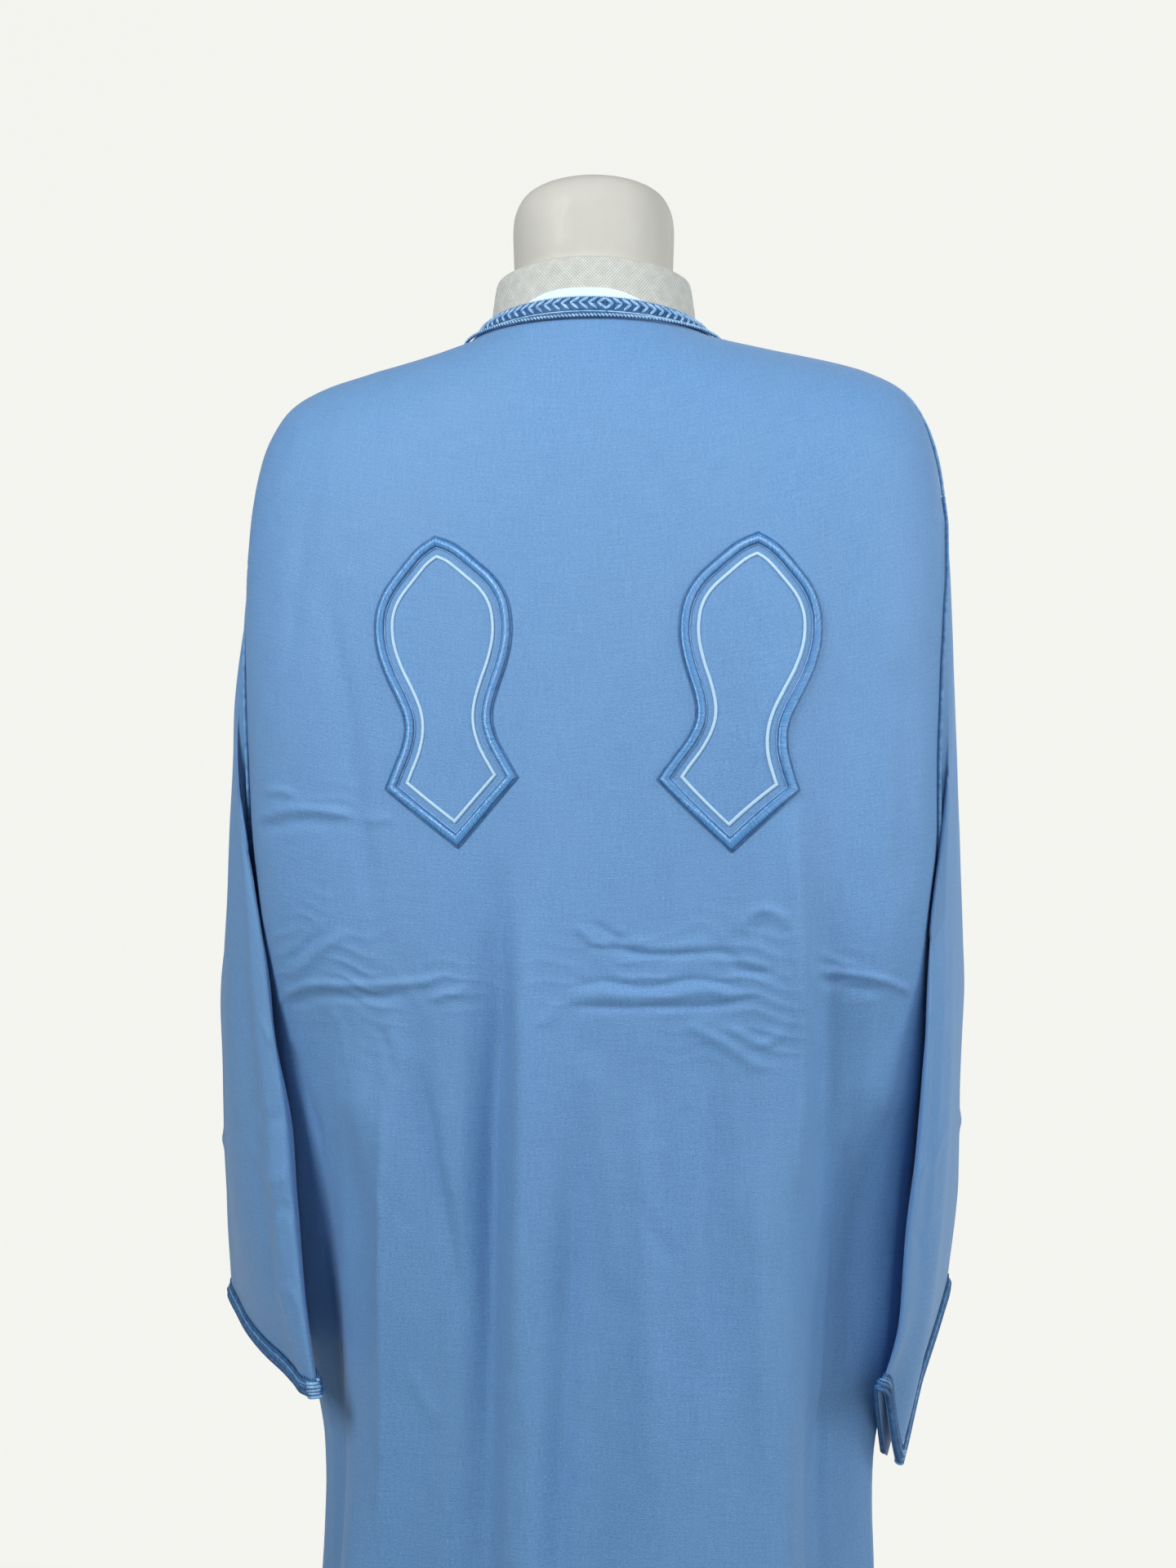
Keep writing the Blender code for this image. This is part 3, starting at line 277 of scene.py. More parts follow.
# Creases of the back, each through stops of distance across and height
BACK_CREASES: tuple[Crease, ...] = (
    Crease((-188, 1331, -166, 1242, -153, 1165, -135, 1051), 8, -2.2),
    Crease((-262, 1152, -209, 1159, -178, 1158.5, -156, 1155), 3, 3),
    Crease((-258, 1143, -209, 1150, -170, 1150), 3.6, -1.8),
    Crease((-242, 1171, -223, 1173, -205, 1169), 3, 1.6),
    Crease((-151, 1154, -138, 1152, -125, 1155), 3, 1.4),
    Crease((-255, 1010, -200, 1030, -153, 1033, -107, 1037, -86, 1042), 3.3, 2.4),
    Crease((-235, 1008, -190, 1022, -150, 1024, -110, 1028), 3.7, -1.5),
    Crease((-98, 1024, -81, 1030, -66, 1035), 2.9, 1.6),
    Crease((-219, 1032, -191, 1055, -158, 1071), 4, 1.8),
    Crease((-225, 1046, -203, 1057, -181, 1073), 3.2, -1.5),
    Crease((-127, 1025.5, -125, 950, -123, 864, -119, 734), 6, 4.2, width_end=20),
    Crease((-110, 985, -99, 920, -87, 864, -67, 751.5), 4.6, -4.6, width_end=9),
    Crease((-136, 896.5, -123, 872, -108.5, 856), 2.9, -1.3),
    Crease((0, 1034.7, 28, 1040.4, 57, 1036.3, 91, 1042.3, 119, 1037.6, 135.5, 1032.3), 2.6, -1.4),
    Crease((0, 1023, 28.6, 1022.2, 62.5, 1022.9, 108, 1024.5, 141, 1032.7), 2.7, -1.6),
    Crease((-4, 1029, 28.5, 1031.5, 60, 1030, 100, 1034.5, 138, 1033), 5, 2.2),
    Crease((-3, 1027, -8, 1018, -16, 1008), 2.7, 1.8),
    Crease((7.5, 1061.2, 35, 1063.7, 63, 1059, 111, 1061.3, 122, 1050, 138, 1048, 152, 1050), 2.9, -2),
    Crease((40, 1069, 70, 1065, 108, 1068), 4, 1.2),
    Crease((7.8, 1081.7, 20.1, 1069, 31.7, 1064.7), 2.3, 1.8),
    Crease((20.8, 1082.6, 31.6, 1074.7, 42.9, 1069.5), 2.2, -1.6),
    Crease((26.1, 1057.9, 34, 1069.3, 41.5, 1080.4), 2.2, 1.5),
    Crease((122, 1073.6, 127.5, 1085.4, 138, 1092, 150, 1087.6, 155, 1076.5), 3, 2),
    Crease((133, 1078, 142, 1078), 7, -1.8),
    Crease((85, 1011, 111, 998.7, 138, 979), 4, 2),
    Crease((110.6, 1012, 122, 1006, 132, 999.6, 144, 1000, 157, 1019), 3, 2),
    Crease((177, 1048, 209, 1044.2, 231, 1039.5, 262.5, 1027.8), 3, 3, taper=0.12),
    Crease((179, 1039.5, 207, 1036, 232, 1030), 3.6, -1.4),
    Crease((177.5, 1060.5, 192, 1055.5, 206, 1050.4), 3, 1.5),
    Crease((236, 952, 246, 944, 259, 936), 2.9, 1.2),
    Crease((16.9, 996.6, 27.6, 904.6, 38.9, 812.4), 10, 2.4),
    Crease((60, 1000, 63, 900, 70, 760), 10, -1.2),
    Crease((92, 985, 95, 880, 100, 760), 12, 1.3),
    Crease((250, 1270, 250, 1180, 249, 1090), 12, -2.4),
    Crease((-166, 1356, -148, 1362), 4, 1.2),
    Crease((-176, 1325, -156, 1330), 4, 1.1),
    Crease((-46, 1130, -48, 1010, -54, 940, -57.5, 820, -61, 500), 8.5, -8, taper=0.3),
    Crease((-30, 1110, -28.5, 980, -31, 850, -37, 700), 10, 8, taper=0.3),
    Crease((-74, 1060, -74.5, 940, -75, 800, -77, 660), 11, 5.2, taper=0.35),
    Crease((-133, 960, -133.5, 860, -134, 740, -136, 560), 7, 5.5, taper=0.3),
    Crease((-164, 950, -160, 850, -161, 720, -166, 520), 21, -20, taper=0.35),
    Crease((158, 1180, 165, 1060, 167, 980, 164, 880), 9, 6, taper=0.25),
    Crease((184, 1120, 190, 1000, 192, 930, 194, 860), 12, -5, taper=0.3),
    Crease((242, 960, 238, 860, 232, 740, 230, 560), 42, -13, taper=0.3),
    Crease((188, 840, 192, 760, 196, 660, 199, 560), 12, -4.5, taper=0.3),
    Crease((212, 860, 213, 760, 213, 660), 7, 4, taper=0.3),
    Crease((104, 1000, 106, 880, 112, 720), 9, -4, taper=0.35),
    Crease((132, 930, 136, 820, 140, 680), 10, 4.2, taper=0.35),
    Crease((3, 960, -1, 820, -5, 680, -8, 360), 10, -10, taper=0.35),
    Crease((56, 960, 58, 820, 62, 640), 11, 4, taper=0.35),
    Crease((-90, 1000, -86, 930, -84, 860), 5.5, 1.6, taper=0.35),
    Crease((-102, 1440, -110, 1380, -116, 1330), 7, -1.1, taper=0.4),
    Crease((-205, 1400, -212, 1320, -216, 1240), 8, -1.4, taper=0.4),
    Crease((72, 1180, 76, 1140, 74, 1095), 6, 1.2, taper=0.4),
    Crease((-20, 1330, -22, 1230, -26, 1130), 11, 1.2, taper=0.4),
    Crease((-233, 985, -222, 950, -205, 905), 6, -2),
    Crease((-118, 760, -104, 735, -88, 722), 4.5, 1.4),
    Crease((-140, 1004, -130, 986, -124, 962), 3.4, -1.6),
    Crease((-178, 1014, -172, 996, -170, 970), 3.4, 1.4),
    Crease((46, 900, 64, 862, 80, 846), 5, -1.1),
    Crease((-290, 130, 290, 130), 1.6, -0.7, taper=0.02),
)

# Where the cloth is crumpled from having been folded away: distance across, height, half
# the extent on both, and the depth
BACK_CRUMPLES: Rows = (
    (-190, 1058, 60, 40, 1.2),
    (-165, 940, 50, 55, 0.9),
    (70, 930, 80, 45, 0.9),
    (-205, 1156, 55, 18, 1.5),
    (-150, 1032, 70, 20, 1.4),
    (40, 1048, 55, 24, 1.6),
    (125, 1050, 45, 36, 1.7),
    (128, 1000, 36, 24, 1.4),
    (205, 1042, 45, 20, 1.3),
    (-80, 1035, 34, 16, 1.1),
)
FRONT_CRUMPLES: Rows = (
    (-120, 1036, 80, 18, 1.4),
    (120, 1032, 80, 18, 1.4),
)

# Creases of the front, as such a robe shows once it has been unfolded
FRONT_CREASES: tuple[Crease, ...] = (
    Crease((-210, 1046, -120, 1038, -30, 1044), 4.4, 2.4),
    Crease((-200, 1036, -120, 1028, -40, 1034), 4.6, -2),
    Crease((30, 1040, 110, 1034, 215, 1043), 4.4, 2.4),
    Crease((40, 1030, 120, 1024, 200, 1032), 4.6, -1.8),
    Crease((-238, 1160, -195, 1152, -150, 1156), 4.5, 2.2),
    Crease((150, 1150, 190, 1146, 236, 1158), 4.5, 2.2),
    Crease((-90, 1120, -76, 1020, -70, 900), 9, -2),
    Crease((60, 1140, 66, 1010, 58, 880), 9, 2),
    Crease((-150, 720, -60, 712, 40, 722, 150, 710), 4.4, 2),
    Crease((-20, 1060, 4, 1080, 20, 1074), 3.6, 1.6),
    Crease((-300, 130, 300, 130), 1.6, -0.7, taper=0.02),
)

# Creases of the sleeves, through stops of distance round from the outer face towards the
# back edge and distance down from the armhole's top
SLEEVE_CREASES: dict[Side, tuple[Crease, ...]] = {
    Side.LEFT: (
        Crease((20, 330, 55, 345, 90, 338), 5, 1.8),
        Crease((40, 372, 70, 362, 95, 366), 4.5, -1.8),
        Crease((30, 300, 60, 306, 92, 296), 5, -1.4),
        Crease((-30, 330, -60, 345, -90, 338), 5.5, 1.6),
        Crease((45, 400, 60, 450, 68, 500), 7, 1.4),
        Crease((70, 120, 78, 200, 80, 280), 6, -1.2),
        Crease((62, 60, 54, 200, 60, 330, 56, 470), 9, 2.4),
        Crease((34, 200, 30, 320, 40, 450), 8, -1.8),
        Crease((-50, 180, -56, 300, -50, 420), 9, 0.8),
        Crease((44, 425, 66, 418, 84, 428), 3.8, 1.2),
        Crease((60, 235, 76, 247, 88, 243), 3.6, 1.2),
    ),
    Side.RIGHT: (
        Crease((30, 330, 60, 345, 90, 335), 5, 1.6),
        Crease((20, 385, 55, 392, 85, 380), 4.5, -1.4),
        Crease((-30, 340, -60, 352, -90, 345), 5.5, 1.6),
        Crease((60, 150, 66, 260, 62, 360), 7, -1.4),
        Crease((-50, 220, -56, 320, -50, 420), 9, 0.8),
        Crease((46, 60, 44, 200, 48, 320, 40, 430), 7, 1.6),
        Crease((36, 245, 60, 252, 82, 246), 3.8, -1.2),
    ),
}


def ring_columns(rows: Rows) -> dict[str, Array]:
    """The columns of a table of rings by their names, the lengths in metres."""
    values = np.array(rows) / ([MM] * 6 + [1] * 2)
    return dict(zip(RING_COLUMNS, values.T))


def along(values: Array, at: Array) -> Array:
    """A column's values at fractional rows, on a smooth curve through the rows.

    Args:
        values: One value, or one array of points, for each row.
        at: Fractional rows.

    Returns:
        The values there.
    """
    last = len(values) - 1
    low = np.clip(np.floor(at).astype(int), 0, last - 1)
    share = at - low
    before, start = values[np.maximum(low - 1, 0)], values[low]
    end, after = values[low + 1], values[np.minimum(low + 2, last)]
    slope_start, slope_end = (end - before) / 2, (after - start) / 2
    square, cube = share**2, share**3
    return (
        start * (2 * cube - 3 * square + 1)
        + slope_start * (cube - 2 * square + share)
        + end * (3 * square - 2 * cube)
        + slope_end * (cube - square)
    )


def curve(values: Array, count: int) -> Array:
    """Points at even shares of the rows, on a smooth curve through all of them."""
    return np.array([along(values, place) for place in np.linspace(0, len(values) - 1, count)])


def eased(low: float, high: float, value: Array) -> Array:
    """0 at low, 1 at high, and smooth between them."""
    share = np.clip((value - low) / (high - low), 0.0, 1.0)
    return share * share * (3 - 2 * share)


def unit(vectors: Array) -> Array:
    """The vectors, each one long."""
    return vectors / np.maximum(np.linalg.norm(vectors, axis=-1, keepdims=True), 1e-12)


def running(steps: Array) -> Array:
    """The length from the start to each point, from the steps between the points."""
    return np.concatenate([[0.0], np.cumsum(steps)])


def read_line(values: Array, run: Array, at: Array) -> Array:
    """Values on a line of points at lengths along it."""
    return np.stack([np.interp(at, run, column) for column in values.T], axis=-1)


def full_turn(count: int) -> Array:
    """Angles once round the garment, both ends at the middle of the front."""
    return np.linspace(-math.pi, math.pi, count + 1)


def tube_turns(count: int) -> Array:
    """Turns once round a tube from its start, which isn't repeated."""
    return np.linspace(0, 2 * math.pi, count + 1)[:-1]


def wrapped(angles: Array) -> Array:
    """The angles brought to within half a turn of 0."""
    return (angles + math.pi) % (2 * math.pi) - math.pi


def ring_points(columns: dict[str, Array], rows: Array, angles: Array) -> Array:
    """Points on the rings of a table.

    Args:
        columns: The table's columns by name.
        rows: Fractional rows.
        angles: Angles from the back towards +X.

    Returns:
        The points, with x, y and z last.
    """
    half_width = along(columns["half_width"], rows)
    power = 2 / along(columns["square"], rows)
    at_back = np.cos(angles) >= 0
    reach = np.abs(np.sin(angles)) ** power
    depth = np.where(at_back, along(columns["back"], rows), along(columns["front"], rows))
    middle = np.where(at_back, along(columns["z_back"], rows), along(columns["z_front"], rows))
    roundness = np.where(at_back, 2.0, along(columns["round_front"], rows))
    z_side = along(columns["z_side"], rows)
    x = half_width * reach * np.sign(np.sin(angles))
    y = -depth * np.sign(np.cos(angles)) * np.abs(np.cos(angles)) ** power
    z = z_side + (middle - z_side) * (1 - reach**roundness)
    return np.stack([x, y, z], axis=-1)


def fold_push(folds: Rows, across: Array, height: Array) -> Array:
    """How far the large folds move the cloth outwards.

    Args:
        folds: Rows of the tables of large folds.
        across: Distance across at each point of the cloth.
        height: Height at each point.

    Returns:
        The push at each point.
    """
    push = np.zeros_like(across)
    for across_top, across_hem, z_start, z_full, width, depth in np.array(folds) / MM:
        share = (z_start - height) / (z_start - HEM_HEIGHT)
        middle = across_top + (across_hem - across_top) * share
        push += depth * eased(z_start, z_full, height) * np.exp(-(((across - middle) / width) ** 2))
    return push


def crease_push(creases: Sequence[Crease], across: Array, height: Array) -> Array:
    """How far the listed creases move the cloth outwards.

    Args:
        creases: The creases, each with stops of distance across and height.
        across: Distance across at each point of the cloth.
        height: Height at each point.

    Returns:
        The push at each point.
    """
    push = np.zeros_like(across)
    for crease in creases:
        stops = np.array(crease.stops).reshape(-1, 2) / MM
        widths = np.array((crease.width, crease.width_end or crease.width)) / MM
        reach = CREASE_REACH * widths.max()
        low, high = stops.min(axis=0) - reach, stops.max(axis=0) + reach
        near = (across > low[0]) & (across < high[0]) & (height > low[1]) & (height < high[1])
        if not near.any():
            continue
        spots = np.stack([across[near], height[near]], axis=1)
        line = curve(stops, CREASE_STEPS * (len(stops) - 1) + 1)
        best = np.full(len(spots), np.inf)
        share = np.zeros(len(spots))
        for i, (start, end) in enumerate(zip(line, line[1:])):
            step = end - start
            t = np.clip(((spots - start) @ step) / (step @ step), 0, 1)
            gap = np.linalg.norm(spots - start - t[:, None] * step, axis=1)
            closer = gap < best
            best = np.where(closer, gap, best)
            share = np.where(closer, (i + t) / (len(line) - 1), share)
        width = widths[0] + (widths[1] - widths[0]) * share
        ends = eased(0, crease.taper, share) * eased(0, crease.taper, 1 - share)
        push[near] += crease.depth / MM * ends * np.exp(-((best / width) ** 2))
    return push


def wave(across: Array, height: Array, turns: Sequence[float]) -> Array:
    """A slanting wave: its turns for each metre across and in height, and its start."""
    return np.sin(turns[0] * across + turns[1] * height + turns[2])


def crests(phase: Array) -> Array:
    """Sharp crests with round hollows between them, about level on the whole."""
    return (1 - np.abs(np.sin(phase))) ** 2 - CREST_MEAN


def ripple(across: Array, height: Array) -> Array:
    """A faint, uneven wave that keeps the cloth from lying as smooth as sheet metal."""
    return sum(
        depth * wave(across, height, first) * wave(across, height, second)
        for depth, first, second in RIPPLES
    )


def crumple(spots: Rows, across: Array, height: Array) -> Array:
    """Small broken wrinkles, mostly level, round the given spots.

    Args:
        spots: Rows of distance across, height, half the extent on both, and depth.
        across: Distance across at each point of the cloth.
        height: Height at each point.

    Returns:
        The push at each point.
    """
    amount = np.zeros_like(across)
    for middle, level, wide, high, depth in np.array(spots) / MM:
        apart = ((across - middle) / wide) ** 2
        amount += depth * np.exp(-apart - ((height - level) / high) ** 2)
    bent = height + 0.0042 * wave(across, height, (62, 40, 0)) + 0.0016 * wave(
        across, height, (171, 0, 1.2)
    )
    level = crests(math.pi * bent / WRINKLE_HEIGHT + 1.1 * np.sin(38 * across))
    turned = bent + (0.40 + 0.25 * np.sin(41 * across + 0.6)) * across
    slant = crests(math.pi * turned / SLANT_HEIGHT)
    broken = 0.5 + 0.5 * np.sin(88 * across - 35 * height + 2.0 * np.sin(49 * height))
    return amount * (level * broken + 0.5 * slant * (1 - broken))


def drape(across: Array, height: Array) -> Array:
    """Faint upright streaks where the cloth hangs free, deeper lower down.

    Args:
        across: Distance across at each point of the cloth.
        height: Height at each point.

    Returns:
        The push at each point.
    """
    bent = across + 0.0040 * wave(across, height, (25, 9, 0)) + 0.0015 * wave(
        across, height, (0, 31, 2.0)
    )
    near = 0.5 + 0.5 * wave(across, height, (19, 3.1, 0.4))
    wide = crests(math.pi * bent / WIDE_STREAK)
    fine = crests(math.pi * bent / FINE_STREAK + 0.7)
    grown = 0.25 + 0.75 * eased(1.12, 0.92, height)
    return grown * (WIDE_STREAK_DEPTH * wide * near + FINE_STREAK_DEPTH * fine * (1 - near))


def from_axis(centre: Vector) -> Vector:
    """The level direction from the upright axis to a point."""
    return Vector((centre.x, centre.y, 0.0))


def linked(name: str, data: bpy.types.ID) -> Made:
    """A new object in the scene for some data."""
    made = bpy.data.objects.new(name, data)
    bpy.context.scene.collection.objects.link(made)
    return made


@dataclass
class GarmentForm:
    """The garment's body as one closed surface, read at any row and angle."""

    rings: Rows = BODY_RINGS
    armhole_half_width: float = 0.050
    armhole_end: float = 0.35
    seam_fade: float = 0.030
    crease_fade: float = 0.012
    free_rows: tuple[float, float] = (0.5, 2.5)
    row_steps: int = 40
    samples: int = 1440
    place_skip: int = 8
    angles: Array = field(init=False)
    z_side: Array = field(init=False)
    around: Array = field(init=False)
    half: Array = field(init=False)
    side: Array = field(init=False)
    points: Array = field(init=False)
    down: Array = field(init=False)
    normals: Array = field(init=False)

    def __post_init__(self) -> None:
        """Works out the surface on a dense grid."""
        columns = ring_columns(self.rings)
        self.z_side = columns["z_side"]
        self.angles = full_turn(self.samples)
        rows = np.linspace(0, HEM_ROW, HEM_ROW * self.row_steps + 1)
        row_grid, angle_grid = np.meshgrid(rows, self.angles, indexing="ij")
        base = ring_points(columns, row_grid, angle_grid)
        steps = np.linalg.norm(np.diff(base, axis=1), axis=2)
        length = np.concatenate([np.zeros((len(rows), 1)), np.cumsum(steps, axis=1)], axis=1)
        middle, quarter = self.samples // 2, self.samples // 4
        self.around = length - length[:, [middle]]
        self.half = length[:, [-1]] / 2
        self.side = self.around[:, middle + quarter]
        push = self.push(base[..., 2], np.cos(angle_grid) >= 0, row_grid)
        tangent = np.gradient(base, axis=1)
        outward = unit(np.stack([tangent[..., 1], -tangent[..., 0], 0 * push], axis=-1))
        self.points = base + push[..., None] * outward
        self.down = unit(np.gradient(self.points, axis=0))
        self.normals = unit(np.cross(np.gradient(self.points, axis=1), self.down))
        if (self.normals[:, middle, 1] > 0).any():
            self.normals = -self.normals
        for directions in (self.down, self.normals):
            shared = unit(directions[:, 0] + directions[:, -1])
            directions[:, 0] = directions[:, -1] = shared

    def push(self, height: Array, at_back: Array, rows: Array) -> Array:
        """How far folds, creases and ripples move the cloth outwards.

        Args:
            height: Height at each point of the grid.
            at_back: Whether each point belongs to the back.
            rows: The fractional row of each point.

        Returns:
            The push at each point.
        """
        front_across = np.sign(self.around) * (self.half - np.abs(self.around))
        across = np.where(at_back, self.around, front_across)
        side = self.side[:, None]
        to_seam = np.where(at_back, side, self.half - side) - np.abs(across)
        folds = np.where(
            at_back, fold_push(BACK_FOLDS, across, height), fold_push(FRONT_FOLDS, across, height)
        )
        creases = np.where(
            at_back,
            crease_push(BACK_CREASES, across, height) + crumple(BACK_CRUMPLES, across, height),
            crease_push(FRONT_CREASES, across, height) + crumple(FRONT_CRUMPLES, across, height),
        )
        free = ripple(across, height) + drape(across, height)
        creases = creases + free * eased(*self.free_rows, rows)
        faded = creases * eased(0, self.crease_fade, to_seam)
        return folds * eased(0, self.seam_fade, to_seam) + faded

    def read(self, grid: Array, row: Array, angle: Array) -> Array:
        """The values of a grid between its samples.

        Args:
            grid: Values, or arrays of them, for each row and angle sample.
            row: Fractional rows.
            angle: Angles from the back towards +X.

        Returns:
            The values there.
        """
        row, angle = np.broadcast_arrays(row, angle)
        r = np.clip(row, 0, HEM_ROW) * self.row_steps
        c = (angle + math.pi) / (2 * math.pi) * self.samples
        i = np.clip(np.floor(r).astype(int), 0, grid.shape[0] - 2)
        j = np.clip(np.floor(c).astype(int), 0, grid.shape[1] - 2)
        fr, fc = (r - i)[..., None], (c - j)[..., None]
        near = grid[i, j] * (1 - fc) + grid[i, j + 1] * fc
        far = grid[i + 1, j] * (1 - fc) + grid[i + 1, j + 1] * fc
        return near * (1 - fr) + far * fr

    def at(self, row: Number, angle: Array, lift: Number = 0.0, down: Number = 0.0) -> Array:
        """Points of the cloth, moved out by lift and along it, downwards, by down."""
        return (
            self.read(self.points, row, angle)
            + self.normal(row, angle) * np.asarray(lift)[..., None]
            + unit(self.read(self.down, row, angle)) * np.asarray(down)[..., None]
        )

    def normal(self, row: Number, angle: Array) -> Array:
        """The outward directions of the cloth."""
        return unit(self.read(self.normals, row, angle))

    def ring_of(self, table: Array, row: float) -> Array:
        """One ring of a table of lengths, at a fractional row."""
        r = float(row) * self.row_steps
        i = min(int(r), len(table) - 2)
        return table[i] * (1 - (r - i)) + table[i + 1] * (r - i)

    def angle_at(self, row: float, around: Array) -> Array:
        """Angles where the distance round the ring from the middle of the back is this."""
        return np.interp(around, self.ring_of(self.around, row), self.angles)

    def side_at(self, row: float) -> float:
        """The distance round the ring from the middle of the back to the side seam."""
        return float(self.ring_of(self.side, row))

    def half_at(self, row: float) -> float:
        """The distance round the ring from the middle of the back to that of the front."""
        return float(self.ring_of(self.half, row)[0])

    def place(self, across: Array, height: Array) -> tuple[Array, Array]:
        """Rows and angles of points of the back, from their distances across and heights.

        Args:
            across: Distances from the middle of the back.
            height: Heights.

        Returns:
            The rows and the angles.
        """
        rows = np.arange(0, len(self.around), self.place_skip) / self.row_steps
        rings = self.around[:: self.place_skip]
        found = []
        for a, h in zip(across, height):
            angles = np.array([np.interp(a, ring, self.angles) for ring in rings])
            heights = self.read(self.points, rows, angles)[:, 2]
            row = np.interp(-h, -heights, rows)
            found.append((row, np.interp(row, rows, angles)))
        return tuple(np.array(found).T)

    def opening(self, side: Side, row: Number, grow: float = 0.0) -> Array:
        """Half the width of an armhole.

        Args:
            side: Which armhole.
            row: Fractional rows.
            grow: How far outside the hole's edge to measure.

        Returns:
            The half widths, 0 above and below the hole.
        """
        z_top = self.z_side[ARMHOLE_TOP_ROW[side]] + grow
        z_bottom = self.z_side[ARMHOLE_BOTTOM_ROW] - grow
        height = along(self.z_side, np.asarray(row, dtype=float))
        share = np.clip((height - z_bottom) / (z_top - z_bottom), 0.0, 1.0)
        return (self.armhole_half_width + grow) * np.sqrt(np.sin(math.pi * share).clip(0))

    def armhole(
        self, side: Side, turns: Array, grow: float, lift: float, end_shift: float
    ) -> tuple[Array, Array]:
        """A loop round an armhole.

        Args:
            side: Which armhole.
            turns: Turns from the top by the back, in radians.
            grow: How far outside the hole's edge the loop runs.
            lift: Its height over the cloth.
            end_shift: How far down it moves at the top, and up at the bottom.

        Returns:
            The points and their outward directions.
        """
        top, bottom = ARMHOLE_TOP_ROW[side], ARMHOLE_BOTTOM_ROW
        coarse = np.arange(2 * top, 2 * bottom + 1) / 2
        share = turns / math.pi
        towards = np.where(share <= 1, -1.0, 1.0)
        share = np.where(share <= 1, share, 2 - share)
        rows = np.interp(share * (len(coarse) - 1), np.arange(len(coarse)), coarse)
        away = np.clip(np.abs(np.sin(turns)) / self.armhole_end, 0, 1)
        width = (self.opening(side, rows) + grow * away) * towards
        down = end_shift * (1 - away) * np.sign(np.cos(turns))
        spots = np.array([
            self.angle_at(row, side.value * (self.side_at(row) + wide))
            for row, wide in zip(rows, width)
        ])
        return self.at(rows, spots, lift=lift, down=down), self.normal(rows, spots)


